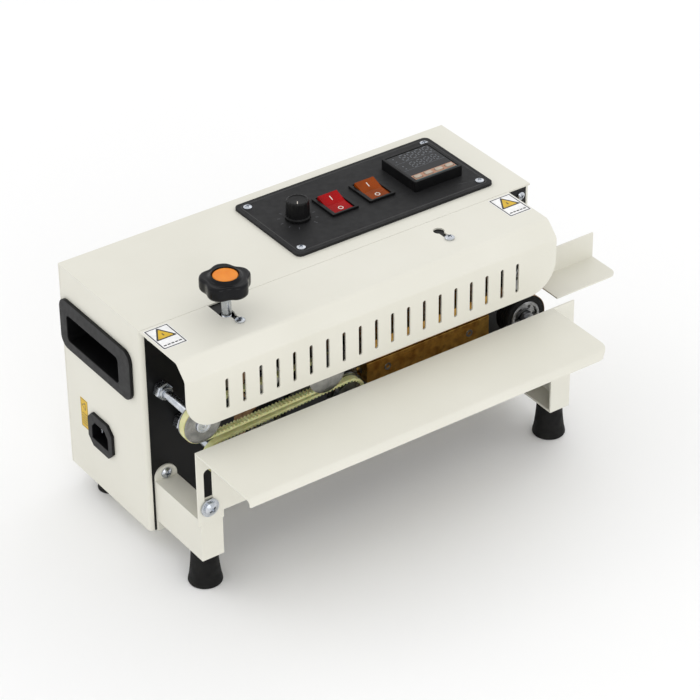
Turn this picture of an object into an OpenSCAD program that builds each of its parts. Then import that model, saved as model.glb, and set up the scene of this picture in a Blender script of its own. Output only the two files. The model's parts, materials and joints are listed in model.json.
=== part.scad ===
// Continuous band sealer, table-top model.
// X runs along the machine, Y from the operator's side (-) to the rear (+), Z up.
// The modules work in bench coordinates: x = 0 at the cabinet's left side, y = 0 at the
// face of the black front plate, z = 0 on the table. place() then centres the machine.

/* [Cabinet] */
// Length of the cabinet
cab_w = 376; // [366:1:400]
// Depth of the cabinet behind the front plate
cab_d = 121; // [121:1:150]
// Height of the cabinet's lid above the table
cab_top = 210.5; // [210.5:0.5:212]
// Height of the cabinet's floor above the table
cab_floor = 20; // [16:1:24]
// Thickness of the painted sheet steel
sheet = 1.5; // [1:0.1:1.6]

/* [Hood] */
// Length of the hood
hood_w = 353; // [348:1:360]
// How far the hood stands out from the front plate
hood_reach = 64.5; // [64.5:0.5:70]
// Height of the hood's lower edge
hood_low = 152; // [150:1:156]
// Number of vent slots in the hood
slot_count = 19; // [5:1:19]
// Spacing of the vent slots
slot_pitch = 15.4; // [8:0.1:15.4]

/* [Tray] */
// Height of the tray's table
tray_z = 135; // [132:1:136]
// Distance from the front plate to the tray's front edge
tray_reach = 144; // [120:1:170]
// Length of the tray's table
tray_w = 345.5; // [300:0.5:346]

/* [Sealing line] */
// Height at which the two seal bands meet
seal_z = 138.5; // [138.5:0.1:139]
// Position of the right-hand band wheels
wheel_x_right = 338; // [334:1:342]
// Position of the left-hand band wheels
wheel_x_left = 82; // [80:1:84]
// Left end of the brass heater blocks
heater_x = 176; // [176:1:186]
// Length of the brass heater blocks
heater_w = 121; // [100:1:121]

/* [Controls] */
// Side of the square temperature controller
controller = 48; // [48:1:50]
// Diameter of the speed knob
speed_knob_d = 21; // [18:1:26]
// Diameter of the pressure knob over its lobes
star_knob_d = 41; // [38:1:46]

/* [Hidden] */
$fn = 48;
eps = 0.01;

// ---- Gears, chain and belts
gear_module = 1.25;
wheel_teeth = 32;
pinion_teeth = 16;
mid_teeth = 30;
chain_pitch = 6.35;
chain_teeth_right = 20;
chain_teeth_mid = 15;
shaft_r = 4;
run_gap = 0.05;
seat_gap = 0.01;
body_gap = 0.3;
nip_gap = 0.2;

// ---- Seal bands and their wheels
wheel_axes = gear_module * wheel_teeth;
band_r = (wheel_axes - nip_gap) / 2;
band_t = 0.4;
tyre_r = band_r - band_t - body_gap;
hub_r = 14.2;
upper_z = seal_z + wheel_axes / 2;
lower_z = seal_z - wheel_axes / 2;
lane_back = -31;
lane_front = -46;

// ---- Toothed guide belts and their pulleys, in front of the seal bands
belt_r = 15;
belt_t = 3;
flange_r = 17;
belt_back = -54;
belt_front = -60;
up_left = [15.7, 152.3];
up_left_r = 17;
low_left = [32, 116];
pulley_gap = 2 * belt_r + nip_gap;
mid_x = 130;
mid_up_z = seal_z + nip_gap / 2 + belt_r;
mid_low_z = mid_up_z - pulley_gap;
mid_dx = sqrt(pow(gear_module * mid_teeth, 2) - pow(pulley_gap, 2));
mid_low_x = mid_x + mid_dx;
mid_angle = atan2(pulley_gap, -mid_dx);

// ---- Planes of the drive behind the front plate
plate_t = 2.5;
gear_y = [8, 14];
chain_y = [16.8, 19.6];
gearbox_y = 24;
pinion_z = lower_z - gear_module * (wheel_teeth + pinion_teeth) / 2;

// ---- Pressure screw
screw_x = 67.5;
screw_y = -18;
seat_z = 187;
bracket_top = 204;
spring_low = 168.3;

// ---- Control panel, in plan
panel_x = [157, 351];
panel_y = [15.5, 109];
panel_t = 2.5;
panel_top = cab_top + panel_t;
panel_inset = 8.5;
panel_screws = [
    for (x = [panel_x[0] + panel_inset, panel_x[1] - panel_inset])
        for (y = [panel_y[0] + panel_inset, panel_y[1] - panel_inset]) [x, y]
];
switch_y = 62.85;
power_x = 225.4;
heat_x = 261.9;
switch_size = [25.6, 31.7];
rocker_z = cab_top - 1.5;
rocker_tilt = 10;
speed_x = 189;
speed_y = 63;
ctrl_x = 288.7;
ctrl_y = 39.5;
ctrl_top = panel_top + 9.5;
key_size = [6.6, 4];
key_x0 = ctrl_x + 8.2;
key_pitch = 10.5;
key_y = ctrl_y + 7.5;

// ---- Legs, tray and guide
leg_w = 20;
leg_x = [6, cab_w - 6 - leg_w];
leg_z = 30;
leg_top = 68;
leg_reach = 67.5;
leg_t = 2;
foot_y = -54;
tray_back = leg_reach + body_gap;
tray_x = 3;
tray_screw_z = 81;
tray_screw_x = [13, cab_w - 16];
leg_screw_z = [25, 73];
plate_screw_x = [9.5, cab_w - 9.5];
plate_screw_z = 202;
guide_screw = [367, tray_z - 12];
guide_end = 425;

// ---- Keyhole screws of the hood
hood_screws = [[70, -33], [271, -30.5]];

// ---- Extents, used to centre the machine over the origin
x_min = -3;
x_max = guide_end;
y_min = -tray_reach;
y_max = cab_d;

// ---- Colours
cream = [0.86, 0.85, 0.80];
satin_black = [0.05, 0.05, 0.05];
panel_black = [0.12, 0.12, 0.13];
rubber_black = [0.07, 0.07, 0.07];
zinc = [0.72, 0.73, 0.74];
steel = [0.55, 0.56, 0.58];
alloy = [0.75, 0.76, 0.78];
brass = [0.72, 0.53, 0.22];
belt_cream = [0.80, 0.80, 0.58];
ptfe = [0.55, 0.42, 0.28];

// ---------------------------------------------------------------- helpers

module place() {
    translate([-(x_min + x_max) / 2, -(y_min + y_max) / 2, 0]) children();
}

// Box from its lowest to its highest corner
module block(lo, hi) {
    translate(lo) cube(hi - lo);
}

// Round rods along each axis
module rod_y(x, z, r, y) {
    translate([x, y[1], z]) rotate([90, 0, 0]) cylinder(h = y[1] - y[0], r = r);
}

module rod_x(y, z, r, x) {
    translate([x[0], y, z]) rotate([0, 90, 0]) cylinder(h = x[1] - x[0], r = r);
}

module rod_z(x, y, r, z) {
    translate([x, y, z[0]]) cylinder(h = z[1] - z[0], r = r);
}

// Outline in X-Z, extruded between two depths
module slab_y(y) {
    translate([0, y[1], 0]) rotate([90, 0, 0]) linear_extrude(y[1] - y[0]) children();
}

// Outline in Y-Z, extruded between two sides
module slab_x(x) {
    translate([x[0], 0, 0]) rotate([90, 0, 90]) linear_extrude(x[1] - x[0]) children();
}

// Outline in X-Y, extruded between two heights
module slab_z(z) {
    translate([0, 0, z[0]]) linear_extrude(z[1] - z[0]) children();
}

// Rectangle with round corners, from its lowest to its highest corner
module round_rect(lo, hi, r) {
    for (x = [lo[0] + r, hi[0] - r], y = [lo[1] + r, hi[1] - r]) translate([x, y]) circle(r);
    translate([lo[0] + r, lo[1]]) square([hi[0] - lo[0] - 2 * r, hi[1] - lo[1]]);
    translate([lo[0], lo[1] + r]) square([hi[0] - lo[0], hi[1] - lo[1] - 2 * r]);
}

// Slot with round ends between two points on a line parallel to an axis
module slot(a, b, w) {
    for (p = [a, b]) translate(p) circle(w / 2);
    if (a[0] == b[0]) translate([a[0] - w / 2, min(a[1], b[1])]) square([w, abs(b[1] - a[1])]);
    else translate([min(a[0], b[0]), a[1] - w / 2]) square([abs(b[0] - a[0]), w]);
}

// Area inside an open belt laid around two circles; its straight runs start a hair
// inside the circles, so that they cross them cleanly
module belt_area(a, ra, b, rb) {
    bite = 0.01;
    run = b - a;
    along = atan2(run[1], run[0]);
    lean = acos((ra - rb) / norm(run));
    translate(a) circle(ra);
    translate(b) circle(rb);
    polygon([
        for (side = [-1, 1], end = side < 0 ? [0, 1] : [1, 0])
            (end == 0 ? a : b)
                + ((end == 0 ? ra : rb) - bite) * [cos(along + side * lean), sin(along + side * lean)]
    ]);
}

// Closed belt of thickness t around two wheels, between two depths
module belt_loop(a, ra, b, rb, t, y) {
    slab_y(y) difference() {
        belt_area(a, ra, b, rb);
        belt_area(a, ra - t, b, rb - t);
    }
}

// Spur gear outline with straight-sided teeth and some backlash
module gear_outline(teeth, turn, bore_r) {
    pitch_r = gear_module * teeth / 2;
    half = 90 / teeth;
    play = 0.16 * half;
    flank = [
        [pitch_r - 1.25 * gear_module, -1.45 * half],
        [pitch_r, play - half],
        [pitch_r + 0.9 * gear_module, play - 0.55 * half],
        [pitch_r + 0.9 * gear_module, 0.55 * half - play],
        [pitch_r, half - play],
        [pitch_r - 1.25 * gear_module, 1.45 * half]
    ];
    difference() {
        polygon([
            for (k = [0 : teeth - 1], p = flank)
                p[0] * [cos(turn + k * 360 / teeth + p[1]), sin(turn + k * 360 / teeth + p[1])]
        ]);
        circle(bore_r);
    }
}

module gear(x, z, teeth, turn) {
    slab_y(gear_y) translate([x, z]) gear_outline(teeth, turn, shaft_r + seat_gap);
}

function chain_r(teeth) = chain_pitch / (2 * sin(180 / teeth));

// Screw with a domed head, its axis along +Z, head seated on z = 0
module pan_screw(head_r, head_h, shank_r, shank_l) {
    cylinder(h = head_h, r = head_r);
    translate([0, 0, -shank_l]) cylinder(h = shank_l + eps, r = shank_r);
}

// ---------------------------------------------------------------- cabinet

module wall_outline(side) {
    bend = 4;
    depth = cab_d - sheet - body_gap;
    translate([side > 0 ? cab_w - sheet : 0, bend]) square([sheet, depth - bend]);
    intersection() {
        translate([side > 0 ? cab_w - bend : bend, bend]) difference() {
            circle(bend);
            circle(bend - sheet);
        }
        translate([side > 0 ? cab_w - bend : 0, 0]) square([bend, bend]);
    }
}

module cabinet_shell() {
    pocket = [[17, 141], [115, 179]];
    color(cream) difference() {
        union() {
            slab_z([cab_floor, cab_top - eps]) wall_outline(-1);
            slab_z([cab_floor, cab_top - eps]) wall_outline(1);
            block([0, 0, cab_top - sheet], [cab_w, cab_d, cab_top]);
        }
        for (x = [-1, cab_w - sheet - 1]) slab_x([x, x + sheet + 2]) round_rect(pocket[0], pocket[1], 8);
        slab_x([-1, sheet + 1]) round_rect([53.5, 63.5], [81.5, 88.5], 2);
        slab_z([cab_top - sheet - 1, cab_top + 1]) {
            round_rect([172, 31], [337, 94], 3);
            for (p = panel_screws) translate(p) circle(1.85);
        }
    }
}

module front_plate() {
    edge = 4.4;
    shafts = [
        [wheel_x_right, upper_z], [wheel_x_right, lower_z], [mid_x, mid_up_z], [mid_low_x, mid_low_z]
    ];
    axles = [up_left, low_left, [wheel_x_left, lower_z]];
    color(satin_black) slab_y([0, plate_t]) difference() {
        translate([edge, cab_floor]) square([cab_w - 2 * edge, cab_top - sheet - body_gap - cab_floor]);
        for (p = shafts) translate(p) circle(7);
        for (p = axles) translate(p) circle(shaft_r + run_gap);
        for (x = leg_x, z = leg_screw_z) translate([x + leg_w / 2, z]) circle(2.55);
        for (x = plate_screw_x) translate([x, plate_screw_z]) circle(2.05);
        translate(guide_screw) circle(2.05);
    }
}

module base_plate() {
    color(cream)
        block([sheet + body_gap, plate_t + 0.5, cab_floor],
              [cab_w - sheet - body_gap, cab_d - sheet - body_gap, cab_floor + sheet]);
}

module rear_panel() {
    vents = 12;
    vent_pitch = 14;
    color(cream) slab_y([cab_d - sheet, cab_d]) difference() {
        translate([0, cab_floor]) square([cab_w, cab_top - sheet - cab_floor - 0.1]);
        for (k = [0 : vents - 1], z = [60, 150])
            translate([cab_w / 2 + (k - (vents - 1) / 2) * vent_pitch, 0]) slot([0, z], [0, z + 30], 4);
    }
}

module rubber_feet() {
    color(rubber_black) {
        for (x = leg_x) translate([x + leg_w / 2, foot_y, 0]) cylinder(h = leg_z, r1 = 14, r2 = 10.8);
        for (x = [20, cab_w - 20]) translate([x, 95, 0]) cylinder(h = cab_floor, r1 = 11, r2 = 9);
    }
}

// ---------------------------------------------------------------- legs, tray and guide

// Folded channel that carries a front foot; its web is on the outer side
module leg(x, web_x) {
    front_top = 88;
    ear_r = leg_w / 2;
    ear_z = 70;
    color(cream) difference() {
        union() {
            block([web_x, -leg_reach, leg_z], [web_x + leg_t, 0, leg_top]);
            block([x, -leg_reach, leg_z], [x + leg_w, 0, leg_z + leg_t]);
            block([x, -leg_reach, leg_top - leg_t], [x + leg_w, 0, leg_top]);
            block([x, -leg_reach, leg_z], [x + leg_w, -leg_reach + leg_t, front_top]);
            block([x, -leg_t, cab_floor], [x + leg_w, 0, leg_z + leg_t]);
            slab_y([-leg_t, 0]) union() {
                translate([x, leg_top - leg_t]) square([leg_w, ear_z - leg_top + leg_t]);
                intersection() {
                    translate([x + ear_r, ear_z]) circle(ear_r);
                    translate([x, ear_z]) square([leg_w, ear_r]);
                }
            }
        }
        for (z = leg_screw_z) rod_y(x + ear_r, z, 2.6, [-leg_t - 1, 1]);
        for (sx = tray_screw_x) rod_y(sx, tray_screw_z, 3.05, [-leg_reach - 1, -leg_reach + leg_t + 1]);
    }
}

module left_leg() {
    leg(leg_x[0], leg_x[0]);
}

module right_leg() {
    leg(leg_x[1], leg_x[1] + leg_w - leg_t);
}

module tray() {
    lip_r = 5;
    corner_r = 14;
    flange_low = 73;
    tab_low = 66;
    shelf_right = tray_x + tray_w;
    flange_right = cab_w - 6;
    color(cream) difference() {
        union() {
            intersection() {
                union() {
                    block([tray_x, -tray_reach + lip_r, tray_z - sheet], [shelf_right, -tray_back, tray_z]);
                    slab_x([tray_x, shelf_right]) intersection() {
                        translate([-tray_reach + lip_r, tray_z - lip_r]) difference() {
                            circle(lip_r);
                            circle(lip_r - sheet);
                        }
                        translate([-tray_reach, tray_z - lip_r - 1]) square([lip_r, lip_r + 1]);
                    }
                    block([tray_x, -tray_reach, tray_z - lip_r - 1],
                          [shelf_right, -tray_reach + sheet, tray_z - lip_r]);
                }
                slab_z([tray_z - 10, tray_z + 1]) union() {
                    translate([tray_x, -tray_reach]) square([tray_w - corner_r, tray_reach]);
                    translate([tray_x, -tray_reach + corner_r]) square([tray_w, tray_reach - corner_r]);
                    translate([shelf_right - corner_r, -tray_reach + corner_r]) circle(corner_r);
                }
            }
            slab_y([-tray_back - sheet, -tray_back]) union() {
                translate([tray_x, flange_low]) square([flange_right - tray_x, tray_z - flange_low]);
                translate([tray_x, tab_low]) square([leg_x[0] + leg_w - tray_x, tray_z - tab_low]);
                translate([leg_x[1], tab_low]) square([flange_right - leg_x[1], tray_z - tab_low]);
            }
        }
        slab_y([-tray_back - sheet - 1, -tray_back + 1])
            for (x = tray_screw_x) slot([x, 76], [x, 112.5], 8);
    }
}

module infeed_guide() {
    shelf_x = 361;
    upstand_x = 345;
    upstand_y = -25;
    front = -58;
    corner_r = 8;
    color(cream) {
        slab_z([tray_z - sheet, tray_z]) difference() {
            union() {
                translate([shelf_x, front + corner_r])
                    square([guide_end - shelf_x, upstand_y - front - corner_r]);
                translate([shelf_x, front]) square([guide_end - shelf_x - corner_r, corner_r + eps]);
                translate([guide_end - corner_r, front + corner_r]) circle(corner_r);
                translate([shelf_x, upstand_y]) square([12, -upstand_y]);
            }
        }
        block([upstand_x, upstand_y, tray_z - sheet], [guide_end, upstand_y + sheet, tray_z + 23]);
        difference() {
            block([shelf_x, -sheet, tray_z - 20], [shelf_x + 12, 0, tray_z]);
            rod_y(guide_screw[0], guide_screw[1], 2.1, [-sheet - 1, 1]);
        }
    }
}

// ---------------------------------------------------------------- hood

module hood_outline() {
    chamfer = 12;
    inner = sheet * tan(22.5);
    polygon([
        [-body_gap, cab_top], [chamfer - hood_reach, cab_top], [-hood_reach, cab_top - chamfer],
        [-hood_reach, hood_low], [sheet - hood_reach, hood_low],
        [sheet - hood_reach, cab_top - chamfer - inner],
        [chamfer - hood_reach + inner, cab_top - sheet], [-body_gap, cab_top - sheet]
    ]);
}

module hood_corner_cut(x, side) {
    r = 26;
    slab_y([-hood_reach - 1, -hood_reach + sheet + 1]) difference() {
        translate([side > 0 ? x - r : x - 1, hood_low - 1]) square([r + 1, r + 1]);
        translate([x - side * r, hood_low + r]) circle(r);
    }
}

module hood() {
    slot_w = 3.2;
    slot_z = [161, 188];
    slot_x = 36.5;
    color(cream) difference() {
        slab_x([0, hood_w]) hood_outline();
        hood_corner_cut(0, -1);
        hood_corner_cut(hood_w, 1);
        slab_y([-hood_reach - 1, -hood_reach + sheet + 1]) for (k = [0 : slot_count - 1])
            translate([slot_x + k * slot_pitch, 0])
                slot([0, slot_z[0] + slot_w / 2], [0, slot_z[1] - slot_w / 2], slot_w);
        slab_z([cab_top - sheet - 1, cab_top + 1]) {
            slot([screw_x, 1], [screw_x, screw_y], 12);
            slot([hood_screws[0][0], screw_y], [hood_screws[0][0], hood_screws[0][1] - 0.5], 4.8);
            translate(hood_screws[1]) {
                translate([0, 14.5]) circle(4.6);
                slot([0, 14.5], [0, -0.5], 4.8);
            }
        }
    }
}

module hood_brackets() {
    half = 10;
    top = cab_top - sheet - body_gap;
    color(satin_black) for (p = hood_screws) difference() {
        union() {
            block([p[0] - half, p[1] - 5, top - 2], [p[0] + half, 0, top]);
            block([p[0] - half, -2, p[0] == hood_screws[0][0] ? bracket_top : top - 12],
                  [p[0] + half, 0, top]);
        }
        rod_z(p[0], p[1], 2.05, [top - 3, top + 1]);
        rod_z(screw_x, screw_y, 6, [top - 3, top + 1]);
    }
}

// ---------------------------------------------------------------- fasteners

module machine_screws() {
    color(zinc) {
        for (p = hood_screws) translate([p[0], p[1], cab_top + body_gap]) pan_screw(4, 2.4, 2, 8);
        for (p = panel_screws) translate([p[0], p[1], panel_top]) pan_screw(3.6, 1.8, 1.8, 6);
        for (x = leg_x, z = leg_screw_z)
            translate([x + leg_w / 2, -leg_t, z]) rotate([90, 0, 0]) pan_screw(4.6, 3, 2.5, 8);
        for (x = tray_screw_x)
        translate([x, -tray_back - sheet - body_gap, tray_screw_z]) rotate([90, 0, 0]) {
            difference() {
                cylinder(h = 1.5, r = 8);
                translate([0, 0, -1]) cylinder(h = 4, r = 3 + run_gap);
            }
            translate([0, 0, 1.5 + seat_gap]) pan_screw(5.6, 3.8, 3, 12);
        }
        for (x = plate_screw_x)
            translate([x, 0, plate_screw_z]) rotate([90, 0, 0]) pan_screw(3.6, 2.2, 2, 2.5);
        translate([guide_screw[0], -sheet, guide_screw[1]]) rotate([90, 0, 0]) pan_screw(3.6, 2.2, 2, 4);
    }
}

// ---------------------------------------------------------------- side fittings

// Recessed carrying handle, drawn on the left side
module handle_pocket() {
    outer = [[13, 137], [119, 183]];
    mouth = [[31, 146], [108, 170]];
    tub = [[25, 142.5], [112.5, 174.5]];
    depth = 32;
    color(satin_black) difference() {
        union() {
            slab_x([-3, 0]) round_rect(outer[0], outer[1], 10);
            slab_x([-eps, depth]) round_rect(tub[0], tub[1], 5);
        }
        slab_x([-4, depth - 2]) round_rect(mouth[0], mouth[1], 3.5);
    }
}

module handle_pockets() {
    handle_pocket();
    translate([cab_w, 0, 0]) mirror([1, 0, 0]) handle_pocket();
}

module power_inlet() {
    y = [49, 86];
    z = [60, 92];
    cut = 7;
    centre = [(y[0] + y[1]) / 2, (z[0] + z[1]) / 2];
    cavity = [24, 16.5];
    depth = 18;
    color(satin_black) difference() {
        union() {
            slab_x([-2.6, 0]) polygon([
                [y[0] + cut, z[0]], [y[1] - cut, z[0]], [y[1], z[0] + cut], [y[1], z[1] - cut],
                [y[1] - cut, z[1]], [y[0] + cut, z[1]], [y[0], z[1] - cut], [y[0], z[0] + cut]
            ]);
            slab_x([-eps, depth + 3]) translate(centre - [13.5, 12]) square([27, 24]);
        }
        slab_x([-3, depth]) polygon([
            for (p = [[-1, -1], [1, -1], [1, 0.35], [0.62, 1], [-0.62, 1], [-1, 0.35]])
                centre + [p[0] * cavity[0] / 2, p[1] * cavity[1] / 2]
        ]);
    }
    color(zinc) for (p = [[-7, -2], [0, 2], [7, -2]])
        translate([3.5, centre[0] + p[0] - 1, centre[1] + p[1] - 2]) cube([depth - 2.5, 2, 4]);
}

// ---------------------------------------------------------------- control panel

module control_panel() {
    color(panel_black) slab_z([cab_top, panel_top]) difference() {
        round_rect([panel_x[0], panel_y[0]], [panel_x[1], panel_y[1]], 5);
        translate([ctrl_x + 1.6, ctrl_y + 1.6]) square(controller - 3.2);
        for (x = [power_x, heat_x]) translate([x - 11.2, switch_y - 14.2]) square([22.4, 28.4]);
        translate([speed_x, speed_y]) circle(4.6);
        for (p = panel_screws) translate(p) circle(1.85);
    }
}

module controller_case() {
    recess = 2.5;
    body_inset = 1.7;
    color(panel_black) difference() {
        union() {
            slab_z([panel_top, ctrl_top])
                round_rect([ctrl_x, ctrl_y], [ctrl_x + controller, ctrl_y + controller], 1.5);
            block([ctrl_x + body_inset, ctrl_y + body_inset, panel_top - 72],
                  [ctrl_x + controller - body_inset, ctrl_y + controller - body_inset, panel_top + eps]);
        }
        block([ctrl_x + recess, ctrl_y + recess, ctrl_top - recess],
              [ctrl_x + controller - recess, ctrl_y + controller - recess, ctrl_top + 1]);
    }
}

module controller_face() {
    rim = 2.6;
    color([0.16, 0.16, 0.17]) difference() {
        block([ctrl_x + rim, ctrl_y + rim, ctrl_top - 2.5],
              [ctrl_x + controller - rim, ctrl_y + controller - rim, ctrl_top - 0.5]);
        for (k = [0 : 3]) translate([key_x0 + k * key_pitch, key_y, ctrl_top - 1.5])
            cube([key_size[0] + 0.6, key_size[1] + 0.6, 3], center = true);
    }
}

module controller_key(k) {
    x = key_x0 + k * key_pitch;
    color([0.62, 0.62, 0.60]) slab_z([ctrl_top - 1.8, ctrl_top + 0.3])
        translate([x, key_y]) round_rect(-key_size / 2, key_size / 2, 0.8);
}

module key_1() { controller_key(0); }

module key_2() { controller_key(1); }

module key_3() { controller_key(2); }

module key_4() { controller_key(3); }

module switch_housings() {
    cavity = [19.6, 28.2];
    floor_z = cab_top - 17;
    color(satin_black) for (x = [power_x, heat_x]) difference() {
        union() {
            slab_z([panel_top, panel_top + 2.2]) round_rect(
                [x - switch_size[0] / 2, switch_y - switch_size[1] / 2],
                [x + switch_size[0] / 2, switch_y + switch_size[1] / 2], 1.2);
            block([x - 11, switch_y - 14.9, floor_z - 2], [x + 11, switch_y + 14.9, cab_top - sheet - 1]);
            block([x - 11, switch_y - 14, floor_z], [x + 11, switch_y + 14, panel_top + eps]);
        }
        block([x - cavity[0] / 2, switch_y - cavity[1] / 2, floor_z],
              [x + cavity[0] / 2, switch_y + cavity[1] / 2, panel_top + 3]);
        rod_x(switch_y, rocker_z, 1.55, [x - 12, x + 12]);
    }
}

// Rocker paddle tipped to its "off" side, with its pivot pin
module rocker(x, tint) {
    half_w = 9.4;
    color(tint) translate([0, switch_y, rocker_z]) rotate([rocker_tilt, 0, 0]) {
        slab_x([x - half_w, x + half_w]) polygon([
            [-12.8, 3.2], [-12.8, 7], [0, 5.2], [12.8, 7], [12.8, 3.2], [3, -3], [-3, -3]
        ]);
        rod_x(0, 0, 1.5, [x - 10.9, x + 10.9]);
    }
}

module power_rocker() { rocker(power_x, [0.75, 0.05, 0.08]); }

module heat_rocker() { rocker(heat_x, [0.85, 0.48, 0.08]); }

module speed_knob() {
    base = panel_top + 0.5;
    height = 17;
    flutes = 24;
    color(satin_black) difference() {
        translate([speed_x, speed_y, base])
            cylinder(h = height, r1 = speed_knob_d / 2, r2 = speed_knob_d / 2 - 1.2);
        rod_z(speed_x, speed_y, 3 + seat_gap, [base - 1, base + 11 + seat_gap]);
        for (k = [0 : flutes - 1]) translate([speed_x, speed_y, base + 3]) rotate([0, 0, k * 360 / flutes])
            translate([speed_knob_d / 2 + 0.1, 0, 0]) cylinder(h = height, r = 0.7);
    }
    color(zinc) rod_z(speed_x, speed_y, 3, [cab_top - 11, base + 11]);
}

module speed_potentiometer() {
    color(steel) difference() {
        union() {
            rod_z(speed_x, speed_y, 12, [cab_top - 12, cab_top - sheet - 1]);
            rod_z(speed_x, speed_y, 4.5, [cab_top - 2.5 - eps, panel_top + 0.1]);
        }
        rod_z(speed_x, speed_y, 3 + run_gap, [cab_top - 11.2, panel_top + 1]);
    }
}

module speed_board() {
    lo = [40, 34, cab_floor + 9];
    size = [96, 62, 1.6];
    top = lo[2] + size[2];
    color([0.10, 0.35, 0.18]) translate(lo) cube(size);
    color(alloy) block([lo[0] + 6, lo[1] + 6, top], [lo[0] + 12, lo[1] + 56, top + 28]);
    color(satin_black) {
        rod_z(lo[0] + 30, lo[1] + 18, 9, [top, top + 25]);
        rod_z(lo[0] + 30, lo[1] + 42, 7, [top, top + 20]);
        block([lo[0] + 48, lo[1] + 10, top], [lo[0] + 76, lo[1] + 44, top + 22]);
        block([lo[0] + 82, lo[1] + 8, top], [lo[0] + 92, lo[1] + 54, top + 12]);
    }
    color(zinc) for (x = [4, 92], y = [3, 59])
        rod_z(lo[0] + x, lo[1] + y, 2.5, [cab_floor + sheet, lo[2]]);
}

// ---------------------------------------------------------------- pressure screw

module star_knob() {
    lobes = 5;
    lobe_r = 9.5;
    valley = 3;
    low = 231.5;
    top = 244;
    color(rubber_black) difference() {
        union() {
            rod_z(screw_x, screw_y, star_knob_d / 2 - valley, [low, top]);
            for (k = [0 : lobes - 1])
                translate([screw_x, screw_y, low + 1]) rotate([0, 0, 67 + k * 360 / lobes])
                    translate([star_knob_d / 2 - lobe_r, 0, 0]) cylinder(h = top - low - 2, r = lobe_r);
            rod_z(screw_x, screw_y, 12, [top - eps, top + 2]);
            rod_z(screw_x, screw_y, 8, [low - 1.5, low + eps]);
        }
        rod_z(screw_x, screw_y, shaft_r, [low - 6, low + 8]);
        rod_z(screw_x, screw_y, 10.3, [top - 1, top + 3]);
    }
}

module star_knob_cap() {
    color([1.0, 0.45, 0.10]) rod_z(screw_x, screw_y, 10.2, [243, 245.6]);
}

module pressure_stud() {
    color(zinc) rod_z(screw_x, screw_y, shaft_r, [seat_z + 1.4, 239.5]);
}

module spring_seat() {
    color(zinc) difference() {
        rod_z(screw_x, screw_y, 7, [seat_z - 0.5, seat_z + 4]);
        rod_z(screw_x, screw_y, shaft_r + run_gap, [seat_z + 1.3, seat_z + 5]);
    }
}

module pressure_spring() {
    turns = 5;
    wire_r = 0.75;
    coil_r = 5;
    low = spring_low + 0.1;
    color(steel) translate([screw_x, screw_y, low])
        linear_extrude(height = seat_z - 0.7 - low, twist = -360 * turns, slices = 14 * turns, $fn = 8)
            translate([coil_r, 0]) circle(wire_r, $fn = 8);
}

// Block that slides in the bracket and carries the upper left wheel on a fixed pin
module pressure_carrier() {
    x = [57, 94];
    y = [-27, -5];
    low = 150;
    color(steel) {
        difference() {
            block([x[0], y[0], low], [x[1], y[1], spring_low]);
            rod_y(wheel_x_left, upper_z, shaft_r + seat_gap, [y[0] - 1, y[0] + 12]);
        }
        rod_y(wheel_x_left, upper_z, shaft_r, [lane_front - 1.2, y[0] + 11]);
        rod_y(wheel_x_left, upper_z, 6.5, [lane_front - 2.4, lane_front - 1.1]);
    }
}

module pressure_bracket() {
    x = [52.7, 98.3];
    top = bracket_top;
    wall = 4;
    color(zinc) difference() {
        union() {
            block([x[0], -28, top - wall], [x[1], 0, top]);
            for (side = [x[0], x[1] - wall]) block([side, -28, 146], [side + wall, 0, top]);
        }
        rod_z(screw_x, screw_y, shaft_r + run_gap, [top - wall - 1, top + 1]);
    }
}

// ---------------------------------------------------------------- band wheels

module wheel_hub(x, z, bore) {
    color(alloy) difference() {
        rod_y(x, z, hub_r, [lane_front - 0.5, lane_back + 0.5]);
        rod_y(x, z, 11.5, [lane_front - 1, lane_front + 1.5]);
        rod_y(x, z, bore, [lane_front - 2, lane_back + 2]);
    }
}

module wheel_tyre(x, z) {
    color(rubber_black) difference() {
        rod_y(x, z, tyre_r, [lane_front, lane_back]);
        rod_y(x, z, hub_r, [lane_front - 1, lane_back + 1]);
    }
}

module upper_right_wheel() { wheel_hub(wheel_x_right, upper_z, shaft_r); }

module lower_right_wheel() { wheel_hub(wheel_x_right, lower_z, shaft_r); }

module upper_left_wheel() { wheel_hub(wheel_x_left, upper_z, shaft_r + run_gap); }

module lower_left_wheel() { wheel_hub(wheel_x_left, lower_z, shaft_r + run_gap); }

module upper_right_tyre() { wheel_tyre(wheel_x_right, upper_z); }

module lower_right_tyre() { wheel_tyre(wheel_x_right, lower_z); }

module upper_left_tyre() { wheel_tyre(wheel_x_left, upper_z); }

module lower_left_tyre() { wheel_tyre(wheel_x_left, lower_z); }

// Driven shaft with its nut at the front and its gear behind the plate
module driven_shaft(x, z, back, turn) {
    color(steel) {
        rod_y(x, z, shaft_r, [lane_front - 5, back]);
        difference() {
            rod_y(x, z, 6.5, [lane_front - 3, lane_front - 0.6], $fn = 6);
            rod_y(x, z, shaft_r + seat_gap, [lane_front - 4, lane_front]);
        }
        gear(x, z, wheel_teeth, turn);
    }
}

module upper_right_shaft() {
    driven_shaft(wheel_x_right, upper_z, 15, 270 + 180 / wheel_teeth);
}

module sprocket(x, z, teeth) {
    color(steel) difference() {
        rod_y(x, z, chain_r(teeth) - 1.9, [chain_y[0] + 0.2, chain_y[1] - 0.2]);
        rod_y(x, z, shaft_r + seat_gap, chain_y);
    }
}

module lower_right_shaft() {
    driven_shaft(wheel_x_right, lower_z, 21, 90);
    sprocket(wheel_x_right, lower_z, chain_teeth_right);
}

// ---------------------------------------------------------------- guide belt pulleys

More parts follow.
